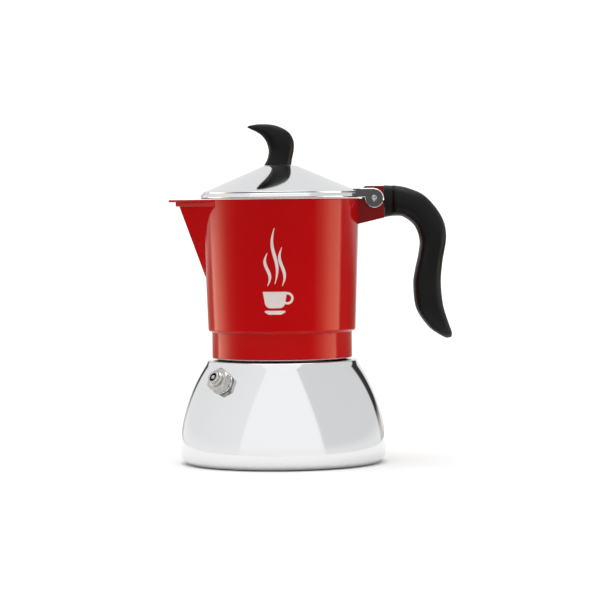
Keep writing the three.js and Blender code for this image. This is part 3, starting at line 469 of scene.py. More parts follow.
def grained(tree, shader, place, size, depth, detail=2.0):
    """A fine grain, its size and depth in mm."""
    grain = add(tree, "TexNoise", {"Scale": 1 / (size * MM), "Detail": detail}, {"Vector": place})
    relief(tree, shader, grain.outputs["Fac"], depth)


def crystalline(tree, shader, place, size, depth):
    """The small crystals of a chemical coat, their size and depth in mm."""
    crystals = add(tree, "TexVoronoi", {"Scale": 1 / (size * MM)}, {"Vector": place})
    relief(tree, shader, crystals.outputs["Distance"], depth)


def finish(colour, name, metallic, roughness, size, shade, surface, sockets=None, detail=3):
    """A new material: even values on the shader's own sockets, then its drift and its relief."""
    material = bpy.data.materials.new(name)
    material.use_nodes = True
    tree = material.node_tree
    shader = tree.nodes["Principled BSDF"]
    shader.inputs["Base Color"].default_value = (*colour, 1)
    shader.inputs["Metallic"].default_value = metallic
    shader.inputs["Roughness"].default_value = sum(roughness) / 2
    for key, value in (sockets or {}).items():
        shader.inputs[key].default_value = value
    place = add(tree, "TexCoord").outputs["Object"]
    varied(tree, shader, place, size, roughness, shade, detail)
    if surface:
        kind, *measures = surface
        kind(tree, shader, place, *measures)
    return material


METAL, COAT = 1.0, 0.0  # the shader's metallic
# The colour a user sets, the finish's name and metallic, its lowest and highest roughness, the size in mm and
# the depth of its drift in shade, its relief with size and depth in mm, what else its shader needs and, where
# it isn't 3, the detail of its drift.
RECIPES = {
    # Deep-drawn stainless steel, mop polished: a near mirror with faint round lines and soft wipe marks.
    # The mop's lines are about 0.05 mm apart on the real pot; 0.6 mm shows.
    "steel": (
        "steel", "mirror_polished_stainless_steel", METAL, (0.035, 0.07), 22, 0.012, (ringed, 0.6, 0.0006), {}, 2,
    ),
    # Ferritic steel disc, ground on a lathe: rings of fine scratches, duller than the boiler.
    "base": ("base_steel", "ground_ferritic_steel", METAL, (0.24, 0.38), 9, 0.05, (ringed, 0.5, 0.006)),
    # Baked enamel sprayed on cast aluminium: a deep gloss with a slight orange-peel wave of 2 to 3 mm.
    "enamel": (
        "enamel", "baked_red_enamel", COAT, (0.08, 0.12), 14, 0.03, (grained, 2.6, 0.004, 1.0),
        {"IOR": 1.5, "Specular IOR Level": 0.27, "Specular Tint": (1, 0.55, 0.42, 1)},
    ),
    # The same enamel on the hinge lug, its red darkened as painted shade, with a softer gloss.
    "lug": (
        "lug_enamel", "thick_red_enamel", COAT, (0.16, 0.24), 7, 0.05, (grained, 1.2, 0.008),
        {"IOR": 1.5, "Specular IOR Level": 0.14},
    ),
    # Stainless sheet of the hinge ears, its flats painted dull dark grey as a painted dark reflection; the polished
    # edges stay bright.
    "ear": ("ear_steel", "stamped_stainless_steel", METAL, (0.3, 0.4), 4, 0.06, None),
    # The collector's inside: turned casting left bare, with rings of tool marks and a dull sheen.
    "bare": ("aluminium", "turned_cast_aluminium", METAL, (0.32, 0.48), 6, 0.06, (ringed, 0.7, 0.012)),
    # Spun and pressed aluminium sheet: soft satin with fine spinning rings.
    "sheet": ("aluminium", "spun_aluminium_sheet", METAL, (0.22, 0.36), 8, 0.05, (ringed, 0.8, 0.006)),
    # Glass-filled nylon from a fine-spark mould: near black, satin, with a grain of 0.5 mm.
    "nylon": (
        "nylon", "moulded_black_nylon", COAT, (0.36, 0.46), 12, 0.1, (grained, 0.5, 0.014, 3.0),
        {"IOR": 1.53, "Specular IOR Level": 0.16},
    ),
    # Food-grade silicone: milky, soft highlight, a little light passes under the surface.
    "silicone": (
        "silicone", "moulded_white_silicone", COAT, (0.44, 0.6), 5, 0.03, (grained, 0.9, 0.01),
        {"IOR": 1.41, "Subsurface Weight": 0.15, "Subsurface Scale": 0.002},
    ),
    # Free-cutting steel turned on an automatic lathe: bright, with small tool marks and darker grain.
    "valve": ("valve", "turned_valve_steel", METAL, (0.14, 0.28), 2.5, 0.08, (grained, 0.35, 0.004)),
    # Spring steel with a black phosphate coat: dark, dry and finely crystalline. On the retaining ring the dark coat
    # is also painted shade deep in the valve's bore.
    "spring": ("spring", "phosphated_spring_steel", METAL, (0.42, 0.6), 0.8, 0.12, (crystalline, 0.25, 0.003)),
    # Zinc-plated screws: pale grey with a faint cloudy lustre.
    "zinc": ("zinc", "zinc_plated_steel", METAL, (0.26, 0.42), 1.6, 0.09, (crystalline, 0.4, 0.004)),
    # Free-machining brass: warm, bright, with ring marks from the tool.
    "brass": ("brass", "turned_brass", METAL, (0.18, 0.3), 2, 0.07, (ringed, 0.3, 0.004)),
    # Pad-printed ink fired on the enamel: thin, even and half matt, with a faint mottle.
    "ink": ("ink", "pad_printed_ink", COAT, (0.32, 0.45), 3, 0.04, (grained, 0.6, 0.003), {"IOR": 1.5}),
    # Matt paper of the studio's floor, with a soft tooth.
    "paper": ("paper", "matte_white_paper", COAT, (0.85, 0.95), 300, 0.004, (grained, 4, 0.01)),
}


def make_finishes(colours):
    for look, (colour, *recipe) in RECIPES.items():
        FINISHES[look] = finish(getattr(colours, colour), *recipe)


# ---- Boiler ----

SIDE_CENTRE = (-31.11, 5.6)  # centre of the boiler's side arc, radius and height
SIDE_RADIUS = 85.71
SIDE_ANGLE = 33.57  # degrees up the arc to the shoulder
SHELL_WALL = 1.5
CORNER = (49.4, 5.6)  # centre of the bottom corner
CORNER_RADIUS = 5.2
NECK_ROOT = 32.9
NECK_CREST = 33.7
NECK_BORE = 31.4
SHOULDER_TOP = 55.2


class MESH_OT_moka_boiler(bpy.types.Operator):
    """Spin the boiler's shell with its threaded neck, and the steel disc let into its foot"""

    bl_idname = "mesh.moka_boiler"
    bl_label = "Boiler"

    def execute(self, context):
        sizes = context.scene.moka_sizes
        top = sizes.neck_top / MM
        profile = [(0, 3.2), (44.6, 3.2, 0.5), (44.6, 0.4)]  # the recess under the foot
        profile += arc(*CORNER, CORNER_RADIUS, -90, 0, 16)
        profile += arc(*SIDE_CENTRE, SIDE_RADIUS, 0, SIDE_ANGLE, 40)[1:]
        profile += [(39.6, SHOULDER_TOP - 0.3, 1.0), (34.2, SHOULDER_TOP, 0.2), (NECK_ROOT, 56.3, 0.4)]
        profile += [(NECK_ROOT, top, 0.4), (NECK_BORE, top, 0.4), (NECK_BORE, 53.7)]
        profile += arc(*SIDE_CENTRE, SIDE_RADIUS - SHELL_WALL, SIDE_ANGLE, 0, 24)
        profile += arc(*CORNER, CORNER_RADIUS - SHELL_WALL, 0, -14, 3)[1:] + [(0, 4.7)]
        shell = turned("boiler_shell_visual", filleted(profile), sizes.body_sides)
        valve = valve_matrix()
        hole = turned("valve_hole", [(0, -8), (6.15, -8), (6.15, 6), (0, 6)], PART_SIDES)
        combined(shell, "DIFFERENCE", placed(hole, valve))
        crest = NECK_CREST - 0.05
        joined(shell, thread("neck_thread", [(32.5, 56.6), (crest, 57.15), (crest, 57.85), (32.5, 58.4)]))
        finish_piece(smooth(shell), "boiler", "steel", "boiler_shell")
        radius = sizes.base_radius / MM
        turned_part("boiler_base", [
            (0, 0.35), (3, 0.35), (3.6, 0), (radius, 0, 0.6), (radius, 3.0, 0.3), (0, 3.0),
        ], sizes.body_sides, "boiler", "base")
        return {"FINISHED"}


# ---- Safety valve ----

HEXAGON_FLATS = 12  # across its flats
SPRING_ENDS = (-3.2, 4.2)  # centres of the wire at its ends
SPRING_RADIUS = 2.05
SPRING_WIRE = 0.28
SPRING_TURNS = 5
WASHER_REACH = 0.8  # from the wall to the middle of the washer


def valve_matrix():
    """The valve's own frame: its origin where it meets the wall, its Z outwards."""
    joint = next(j for j in frame["joints"] if j["name"] == "valve_pull")
    out = Vector(joint["axis"]).normalized()
    low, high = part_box("valve_washer")
    origin = (low + high) / 2 - out * WASHER_REACH * MM
    return Matrix.Translation(origin) @ out.to_track_quat("Z", "X").to_matrix().to_4x4()


class MESH_OT_moka_valve(bpy.types.Operator):
    """Turn the safety valve: bush, washer, six-sided body, pin, spring and retaining ring"""

    bl_idname = "mesh.moka_valve"
    bl_label = "Safety valve"

    def execute(self, context):
        corner = HEXAGON_FLATS / math.sqrt(3)
        cleared()
        bpy.ops.mesh.primitive_cylinder_add(
            vertices=6, radius=corner * MM, depth=3.8 * MM, location=(0, 0, 3.2 * MM), rotation=(0, 0, math.pi / 6)
        )
        body = named("valve_body_visual")
        rounded(body, 0.12, 2)
        chamfer = turned("hex_chamfer", [
            (0, 0), (6.5, 0), (6.5, 1.45), (corner + 0.4, 1.85), (corner + 0.4, 4.3), (6.0, 5.1), (5.7, 5.2),
            (0, 5.2),
        ], PART_SIDES)
        combined(body, "INTERSECT", chamfer)
        nose = turned("valve_nose", filleted([
            (0, 4.6), (4.2, 4.6), (4.2, 6.1, 0.3), (3.7, 6.3), (3.3, 6.5), (3.4, 6.9, 0.2), (3.4, 8.3, 0.5), (0, 8.3),
        ]), PART_SIDES)
        shank = turned("valve_shank", [(0, -8.1), (4.3, -8.1), (4.6, -7.8), (4.6, 1.8), (0, 1.8)], PART_SIDES)
        bore = turned("valve_bore", [
            (0, -9), (1.5, -9), (1.5, -5.1), (3, -5.1), (3, 6), (2.2, 6.2), (2.2, 8.0), (2.6, 8.6), (0, 8.6),
        ], PART_SIDES)
        combined(body, "UNION", nose, shank)
        combined(body, "DIFFERENCE", bore)
        place = valve_matrix()
        placed(smooth(body, 24), place)
        finish_piece(body, "boiler", "valve", "valve_body")
        for node, look, profile in (
            ("valve_bush", "steel", [(4.75, -5.3, 0.2), (6, -5.3, 0.3), (6, 0.3, 0.2), (4.75, 0.3, 0.1)]),
            ("valve_washer", "silicone", [(4.75, 0.5, 0.15), (5.6, 0.5, 0.25), (5.6, 1.1, 0.25), (4.75, 1.1, 0.15)]),
            # The retaining ring's dark coat is partly painted shade deep in the bore.
            ("valve_retainer", "spring", [(1.4, 4.7, 0.15), (2.7, 4.7, 0.15), (2.7, 5.9, 0.3), (1.4, 5.9, 0.3)]),
            ("valve_plunger", "valve", [
                (0, -7.5), (0.7, -7.5, 0.2), (1.2, -6.4), (1.3, -4.95), (2.6, -4.9, 0.2), (2.6, -3.7, 0.2),
                (1.1, -3.7), (1.1, 8.3, 0.4), (0, 8.3),
            ]),
        ):
            rides = "valve_pin" if node == "valve_plunger" else "boiler"
            turned_part(node, profile, PART_SIDES, rides, look, place)
        self.spring(place)
        return {"FINISHED"}

    def spring(self, place):
        low, high = SPRING_ENDS
        wire = arc(SPRING_RADIUS, low, SPRING_WIRE, 0, 324, 9)
        spring = coil("valve_spring_visual", wire, 2 * math.pi * SPRING_TURNS, high - low, 32 * SPRING_TURNS)
        placed(smooth(spring, 50), place)
        finish_piece(spring, "boiler", "spring", "valve_spring")
        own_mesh(spring)


# ---- Funnel and seal ----

HOLE_RINGS = 7
HOLE_SIDES = 14


def plate(name, radius, low, high, pitch, hole):
    """A turned disc cut through by HOLE_RINGS rings of round holes."""
    disc = turned(name, filleted([(0, low), (radius, low, 0.2), (radius, high, 0.2), (0, high)]), DISC_SIDES)
    cleared()
    size = {"vertices": HOLE_SIDES, "radius": hole * MM, "depth": 4 * MM}
    bpy.ops.mesh.primitive_cylinder_add(location=(0, 0, (low + high) / 2 * MM), **size)
    cutter = named("holes")
    editing()
    for ring in range(1, HOLE_RINGS + 1):
        for i in range(6 * ring):
            angle = 2 * math.pi * i / (6 * ring)
            x, y = ring * pitch * math.cos(angle), ring * pitch * math.sin(angle)
            bpy.ops.mesh.primitive_cylinder_add(location=(x * MM, y * MM, (low + high) / 2 * MM), **size)
    bpy.ops.object.mode_set(mode="OBJECT")
    return combined(disc, "DIFFERENCE", cutter)


class MESH_OT_moka_funnel(bpy.types.Operator):
    """Spin the funnel's cup and stem and pierce its screen"""

    bl_idname = "mesh.moka_funnel"
    bl_label = "Funnel"

    def execute(self, context):
        turned_part("funnel_cup", [
            (6.15, 43.8, 0.2), (12, 43.8, 4), (31, 48.2, 2.2), (31, 67.2, 0.3), (33.3, 67.2, 0.35),
            (33.3, 68.2, 0.35), (30.2, 68.2, 0.8), (30.2, 49.0, 1.6), (11.6, 44.6, 3.4), (6.15, 44.6, 0.2),
        ], RING_SIDES, "funnel", "sheet")
        turned_part("funnel_stem", [
            (5.2, 9.3, 0.2), (6, 9.3, 0.3), (6, 44.75, 0.5), (9, 44.75, 0.3), (9, 45.55, 0.3), (5.2, 45.55, 0.5),
        ], PART_SIDES, "funnel", "sheet")
        screen = plate("funnel_screen_visual", 29.9, 49.2, 50.0, 3.5, 0.75)
        finish_piece(smooth(screen), "funnel", "sheet", "funnel_screen")
        return {"FINISHED"}


class MESH_OT_moka_seal(bpy.types.Operator):
    """Spin the silicone seal and pierce the filter plate it holds"""

    bl_idname = "mesh.moka_seal"
    bl_label = "Seal and filter plate"

    def execute(self, context):
        turned_part("gasket", [
            (26.5, 68.4, 0.5), (32.5, 68.4, 0.6), (32.5, 72.0, 0.6), (28.5, 72.0, 0.2), (28.5, 70.85, 0.2),
            (26.5, 70.85, 0.3),
        ], RING_SIDES, "seal_ring", "silicone")
        filter_plate = plate("filter_plate_visual", 28.2, 71.0, 72.0, 3.4, 0.7)
        finish_piece(smooth(filter_plate), "seal_plate", "sheet", "filter_plate")
        return {"FINISHED"}


# ---- Collector ----

BODY_FOOT = (39.0, 70.1)  # outer radius and height of the body's lower corner
BODY_RIM = 41.7
WALL = 2.0
FLOOR_Z = 75.0
PIN_X = 49.4
LUG_HALF = 6.5
PIN_HOLE = 1.65
LUG_ROOT = 40.2  # X inside the body's wall
LUG_START = 41.9  # X outside it
LUG_END = 54.7
LUG_DROP = 13.8  # from the rim to the lug's foot
NOSE_RADIUS = 7.9
SPOUT_DEPTH = 41.5
SPOUT_REACH = 14.9  # from its root to its tip
SPOUT_SIDE = (-34.1, 24)  # where the spout's rim leaves the body's
SPOUT_BACK = 8 - BODY_RIM  # X inside the body where it ends
STEP_DEPTH = 3.5
LIP_DEPTH = 1.2
SKIRT_INSIDE = 36.4  # radius under which the underside is bare
SKIRT_END = 56.35  # height under which the skirt's end is bare
CHAMBER_TOP = BODY_FOOT[1] + 3.5  # above the hollow over the filter plate


def body_radius(z, rim):
    """Outer radius of the collector's slightly tapered body, in mm."""
    return BODY_FOOT[0] + (BODY_RIM - BODY_FOOT[0]) * (z - BODY_FOOT[1]) / (rim - BODY_FOOT[1])


def hinge_matrix():
    """The hinge's own frame: its origin on the axis, its Z along the pin."""
    height = bpy.context.scene.moka_sizes.rim_height
    return Matrix.Translation((PIN_X * MM, 0, height)) @ Matrix.Rotation(math.pi / 2, 4, "X")


def wedge(name, inset, top, rim):
    """The spout as a wedge: its rim outline extruded down to a point at its root, moved in by an inset."""
    root_z = rim - SPOUT_DEPTH + inset
    root_x = inset - body_radius(root_z, rim)
    tip_x = root_x - SPOUT_REACH * (top - root_z) / SPOUT_DEPTH
    side_x, side_y = SPOUT_SIDE[0] + inset, SPOUT_SIDE[1] - 0.7 * inset
    cleared()
    bpy.ops.mesh.primitive_cube_add(size=MM)
    piece = named(name)
    editing()
    bpy.ops.mesh.delete(type="VERT")
    mesh = bmesh.from_edit_mesh(piece.data)
    half = max(0.15, 1 - 0.5 * inset)
    ends = [(tip_x, half, top), (side_x, side_y, top), (SPOUT_BACK, side_y, top)]
    ends += [(SPOUT_BACK, half, root_z), (root_x, half * 0.5, root_z)]
    for x, y, z in ends:
        for side in (1, -1):
            mesh.verts.new((x * MM, side * y * MM, z * MM))
    bmesh.update_edit_mesh(piece.data)
    select_whole()
    bpy.ops.mesh.convex_hull()
    select_whole()
    bpy.ops.mesh.dissolve_limited(angle_limit=math.radians(1))
    closed()
    return piece


def beak(name, tip_x, low, high, edge):
    """A flat pointed ledge on top of the spout, between two heights."""
    half = [(tip_x, 0.9), SPOUT_SIDE, (SPOUT_BACK, SPOUT_SIDE[1])]
    piece = traced(name, half + [(x, -y) for x, y in reversed(half)])
    bpy.ops.mesh.edge_face_add()
    select_whole()
    bpy.ops.transform.rotate(value=math.pi / 2, orient_axis="X", center_override=(0, 0, 0))
    bpy.ops.transform.translate(value=(0, 0, low * MM))
    bpy.ops.mesh.extrude_region_move(TRANSFORM_OT_translate={"value": (0, 0, (high - low) * MM)})
    closed()
    return rounded(piece, edge, 2)


def hinge_hole(half):
    """A round bar along the hinge's axis that cuts the pin's hole."""
    bar = turned("hinge_hole", [(0, -half), (PIN_HOLE, -half), (PIN_HOLE, half), (0, half)], SCREW_SIDES)
    return placed(bar, hinge_matrix())


def lug_shape(rim):
    """The hinge lug with its round nose, and the tongue that goes into the handle."""
    low_angle = 180 - math.degrees(math.acos(6.2 / NOSE_RADIUS))
    high_angle = 180 - math.degrees(math.asin(6.4 / NOSE_RADIUS))
    outline = [(LUG_ROOT, rim - LUG_DROP), (LUG_END, rim - 10.4), (LUG_END, rim + 6.4)]
    outline += arc(PIN_X, rim, NOSE_RADIUS, high_angle, low_angle, 8)
    outline += [(43.2, rim - 0.2), (LUG_ROOT, rim - 0.2)]
    body = slab("lug", outline, -LUG_HALF, LUG_HALF, 0.7)
    tongue = block("tongue", (LUG_END - 1, -3.2, rim - 5), (66.2, 3.2, rim + 4), 0.4)
    combined(body, "UNION", tongue)
    return combined(body, "DIFFERENCE", hinge_hole(9))


class MESH_OT_moka_collector(bpy.types.Operator):
    """Spin the collector, hollow it, and join its spout, hinge lug and skirt thread"""

    bl_idname = "mesh.moka_collector"
    bl_label = "Collector"

    def execute(self, context):
        sizes = context.scene.moka_sizes
        rim = sizes.rim_height / MM
        outside = turned("collector_visual", filleted([
            (0, 72.2), (32.65, 72.2, 0.3), (32.65, 68.8, 0.2), (34.8, 68.6), (34.8, 56.5), (35.3, 56.0, 0.2),
            (37.1, 56.0, 0.5), (37.1, 70.1, 0.5), (39.0, 70.1, 1.5), (BODY_RIM, rim, 0.45), (0, rim),
        ]), sizes.body_sides)
        spout = rounded(wedge("spout", 0, rim - 3.4, rim), 0.7)
        first_step = beak("first_step", -55.7, rim - STEP_DEPTH, rim - LIP_DEPTH, 0.25)
        lip = beak("lip", -59.4, rim - LIP_DEPTH - 0.01, rim, 0.25)
        combined(outside, "UNION", spout, first_step, lip)
        mouth = BODY_RIM - WALL
        inside = turned("collector_inside", filleted([
            (0, FLOOR_Z), (37.2, FLOOR_Z, 3.0), (mouth, rim), (mouth + 0.4, rim + 0.5), (mouth + 0.4, rim + 3),
            (0, rim + 3),
        ]), sizes.body_sides)
        channel = wedge("channel", 1.8, rim + 1, rim)
        chamber = turned("chamber", filleted([(0, 71), (25.5, 71), (25.5, 73.4, 0.5), (0, 73.4)]), DISC_SIDES)
        column_hole = turned("column_hole", [(0, 72), (5.15, 72), (5.15, 76), (0, 76)], PART_SIDES)
        combined(outside, "DIFFERENCE", inside, channel, chamber, column_hole)
        combined(outside, "UNION", lug_shape(rim))
        paint(outside, ("enamel", "bare", "lug"), lambda centre, normal: self.look(centre, normal, rim))
        ridge = thread("skirt_thread", [(35.2, 58.6), (34.0, 59.15), (34.0, 59.85), (35.2, 60.4)])
        ridge.data.materials.append(FINISHES["bare"])
        joined(outside, ridge)
        creased(smooth(outside, 20), 2.4, 12)
        finish_piece(weighted(outside), "collector", "enamel", "collector_body")
        return {"FINISHED"}

    def look(self, centre, normal, rim):
        """Enamel (0) outside and on the rim, bare metal (1) inside and underneath, the lug's enamel darkened as
        painted shade (2).
        """
        radius = math.hypot(centre.x, centre.y)
        inward = normal.y * centre.y < -0.05 * abs(centre.y)
        on_rim = normal.z > 0.9 and centre.z > rim - 0.2
        inner = radius < body_radius(centre.z, rim) - 0.9 and centre.z > BODY_FOOT[1] + 0.6
        under = radius < SKIRT_INSIDE and centre.z < CHAMBER_TOP or centre.z < SKIRT_END
        in_spout = centre.x < -30 and centre.z > rim - SPOUT_DEPTH - 0.5 and inward
        if (inner or under or in_spout) and centre.x < LUG_ROOT - 0.1 and not on_rim:
            return 1
        # The lug's faces take the darker red of painted shade.
        in_shaded_lug = centre.x > LUG_START and abs(centre.y) < LUG_HALF + 0.1 and centre.z > rim - LUG_DROP - 0.1
        return 2 if in_shaded_lug else 0


FILM_DEPTH = 0.05
STAMP = (-45, -30)  # Y between which shapes cut the emblem from its film
CUP_HANDLE = (3.2, 88.6)  # centre of the cup's ring handle, X and height
WISPS = ((-7, 95, 112), (-3.2, 96, 125), (0.6, 95, 115))  # X, foot and tip of each line of steam
WISP_STEPS = 28


class MESH_OT_moka_emblem(bpy.types.Operator):
    """Print a plain steaming cup on the collector's front"""

    bl_idname = "mesh.moka_emblem"
    bl_label = "Emblem"

    def execute(self, context):
        sizes = context.scene.moka_sizes
        rim = sizes.rim_height / MM
        film = turned("emblem_visual", [
            (body_radius(z, rim) + side * FILM_DEPTH, z) for z, side in ((129, 1), (129, -1), (77, -1), (77, 1))
        ], sizes.body_sides)
        low, high = STAMP
        cup = slab("cup", filleted([(-9.5, 92), (-8, 83.5, 3), (1.6, 83.5, 3), (3, 92)]), low, high)
        ring = slab("cup_handle", arc(*CUP_HANDLE, 3.2, 0, 345, 23), low - 1, high + 1)
        combined(ring, "DIFFERENCE", slab("cup_hole", arc(*CUP_HANDLE, 2.0, 0, 345, 23), low - 2, high + 2))
        dish = filleted([(-10, 82.2, 0.5), (-6.5, 80.2, 1), (0, 80.2, 1), (3.6, 82.2, 0.5)])
        saucer = slab("saucer", dish, low, high)
        wisps = [self.wisp(*place) for place in WISPS]
        combined(cup, "UNION", ring)
        combined(film, "INTERSECT", joined(cup, saucer, *wisps))
        finish_piece(smooth(film), "collector", "ink")
        return {"FINISHED"}

    def wisp(self, x, low, high):
        """A wavy line of steam that swells in the middle."""
        left, right = [], []
        for i in range(WISP_STEPS + 1):
            share = i / WISP_STEPS
            middle = x + 1.3 * math.sin(2 * math.pi * share)
            half = 0.15 + 0.75 * math.sin(math.pi * share)
            z = low + (high - low) * share
            left.append((middle - half, z))
            right.append((middle + half, z))
        return slab("wisp", right + left[::-1], *STAMP)


class MESH_OT_moka_column(bpy.types.Operator):
    """Spin the coffee column that stands in the collector and slot its top"""

    bl_idname = "mesh.moka_column"
    bl_label = "Coffee column"

    def execute(self, context):
        top = 125.0
        column = turned("coffee_column_visual", filleted([
            (3.6, 73.55), (5, 73.55, 0.2), (5, 75.15), (8.5, 75.15, 0.3), (8.5, 76.75, 0.5), (7, 77.55, 0.6),
            (5.4, top - 2, 1.2), (3.8, top, 0.8), (0, top), (0, top - 2.6), (2.6, top - 2.9, 0.6),
            (3.6, top - 5, 0.5),
        ]), COLUMN_SIDES)
        combined(column, "DIFFERENCE", block("slots", (-20, -2.5, top - 9), (20, 2.5, top - 4), 0.6))
        finish_piece(smooth(column), "collector", "bare", "coffee_column")
        return {"FINISHED"}


# ---- Handle and hinge pin ----

SCREW_X = 61.7
# Outer edge X and Z, inner edge X and Z, half width: from the lug's end and the rim.
HANDLE_STATIONS = [
    (0, 6.7, 0, -10.2, 6.5), (3.9, 6.5, 3.9, -9.6, 6.5), (5.9, 6.5, 5.5, -9.4, 9), (12.5, 5.2, 10.2, -10.2, 10.6),
    (21.8, 0.7, 15.8, -14.7, 11), (30.2, -10, 18.5, -22, 11), (32.6, -20.5, 17.9, -29.5, 10.8),
    (30.5, -34, 15.9, -38.8, 10.5), (29.6, -45, 15, -46.6, 10.2), (30.7, -57, 16.5, -58.8, 9.8),
    (33.5, -66.5, 22.5, -68.1, 8.4), (35.2, -71.4, 28, -72.4, 5.8), (35, -74.2, 32.4, -74.7, 1.6),
]


class MESH_OT_moka_handle(bpy.types.Operator):
    """Shape the moulded handle, sink its socket and screw hole, and turn its screw"""

    bl_idname = "mesh.moka_handle"
    bl_label = "Handle"

    def execute(self, context):
        rim = context.scene.moka_sizes.rim_height / MM
        screw_place = Matrix.Translation((SCREW_X * MM, 0, rim * MM))
        handle = grip("handle_visual", HANDLE_STATIONS, (LUG_END + 0.2, 0, rim), squareness=3.2, sections=120)
        socket = block("socket", (LUG_END - 1, -3.35, rim - 5.15), (66.35, 3.35, rim + 4.15))
        hole = turned("screw_hole", [
            (0, -15), (3.05, -15), (3.05, -7.8), (1.75, -7.8), (1.75, 0), (0, 0),
        ], SCREW_SIDES)
        combined(handle, "DIFFERENCE", socket, placed(hole, screw_place))
        finish_piece(smooth(handle, 40), "collector", "nylon", "handle")
        # The polished boiler would mirror a black wedge of it.
        handle.visible_glossy = False
        screw = turned("handle_screw_visual", filleted([
            (0, -9.6), (2.9, -9.6, 0.5), (2.9, -8.0, 0.1), (1.6, -8.0), (1.6, 1, 0.3), (0, 1),
        ]), SCREW_SIDES)
        combined(screw, "DIFFERENCE", block("driver_slot", (-4, -0.4, -11), (4, 0.4, -8.8)))
        placed(smooth(screw), screw_place)
        finish_piece(screw, "collector", "zinc", "handle_screw")
        return {"FINISHED"}


class MESH_OT_moka_pin(bpy.types.Operator):
    """Turn the hinge pin with its dimpled, upset ends"""

    bl_idname = "mesh.moka_pin"
    bl_label = "Hinge pin"

    def execute(self, context):
        half = [(1.5, 8.5, 0.2), (0.9, 8.5, 0.1), (0.75, 7.7, 0.3), (0, 7.7)]
        mirrored = [(x, -z, *f) for x, z, *f in reversed(half)]
        pin = turned("hinge_pin_visual", filleted(mirrored + half), SCREW_SIDES)
        placed(smooth(pin), hinge_matrix())
        finish_piece(pin, "collector", "valve", "hinge_pin", slot="screw_steel")
        return {"FINISHED"}


# ---- Lid and knob ----

EAR_IN, EAR_OUT = 6.9, 8.1
EAR_RADIUS = 5.1
EAR_START = 39.2  # X where the ears meet the tab
TAB_UNDER, TAB_TOP = 4.1, 5.3  # heights over the rim
HEM_CHORD = 2.6  # how far the hem is cut straight at the hinge
PAD_Z = 157.72
# Back edge X and Z, front edge X and Z, half width: from the axis and the lid's pad.
KNOB_STATIONS = [
    (5.8, 0.2, -8.6, 0.2, 6.2), (6.3, 3.4, -6.8, 3.6, 5.8), (7.3, 8.4, -6.1, 7.8, 5.6), (7.1, 13.3, -7.2, 12.3, 5.6),
    (4.2, 18, -9.4, 15.6, 5.2), (-2.6, 21.3, -12.4, 17.8, 4.3), (-10.6, 22, -15.3, 19.2, 2.9),
    (-16.6, 21.2, -17.5, 20.4, 0.7),
]


class MESH_OT_moka_lid(bpy.types.Operator):
    """Spin the lid with its rolled hem and join its tab and the two ears of its hinge"""

    bl_idname = "mesh.moka_lid"
    bl_label = "Lid"

    def execute(self, context):
        sizes = context.scene.moka_sizes
        rim, radius = sizes.rim_height / MM, sizes.lid_radius / MM
        lid = turned("lid_visual", filleted([
            (1.95, PAD_Z - 1), (8.3, PAD_Z - 1, 3), (radius - 2.9, rim + 3.2, 0.6), (radius - 2, rim + 2.2, 0.5),
            (radius - 2, rim + 0.4, 0.4), (radius - 0.05, rim + 0.4, 0.5), (radius, rim + 1.1, 0.3),
            (radius - 0.2, rim + 2.8, 0.4), (radius - 1.05, rim + 3.05, 0.12), (radius - 1.0, rim + 3.8, 0.3),
            (8.5, PAD_Z, 3), (1.95, PAD_Z),
        ]), sizes.body_sides)
        top, under = rim + TAB_TOP, rim + TAB_UNDER
        tab_end = PIN_X - math.sqrt(8.2**2 - TAB_UNDER**2)
        notch = block("notch", (PIN_X - 8.4, -EAR_IN, rim - 1), (PIN_X, EAR_IN, under))
        chord = block("chord", (radius - HEM_CHORD, -radius / 2, rim - 0.6), (PIN_X, radius / 2, top))
        combined(lid, "DIFFERENCE", notch, chord)
        tab = block("tab", (37.84, -EAR_OUT, under), (tab_end, EAR_OUT, top), 0.25)
        combined(lid, "UNION", tab, self.ear(rim, 1), self.ear(rim, -1))
        combined(lid, "DIFFERENCE", hinge_hole(9.5))
        paint(lid, ("steel", "ear"), self.look)
        finish_piece(weighted(smooth(lid, 24)), "lid", "steel", "lid_shell")
        return {"FINISHED"}

    def ear(self, rim, side):
        start = math.degrees(math.pi - 0.08)
        outline = [(EAR_START, rim + 0.4)] + arc(PIN_X, rim, EAR_RADIUS, start, 450, 40)[:-1]
        outline += [(PIN_X, rim + TAB_TOP), (EAR_START, rim + TAB_TOP)]
        low, high = sorted((side * EAR_IN, side * EAR_OUT))
        return slab("ear", outline, low, high, 0.5)

    def look(self, centre, normal):
        """Polished steel (0), but for the ears' flat outer sides (1), painted dark grey as a painted dark reflection.
        """
        outer = abs(normal.y) > 0.99 and abs(centre.y) > EAR_OUT - 0.01
        return int(outer and centre.x > EAR_START - 0.2)


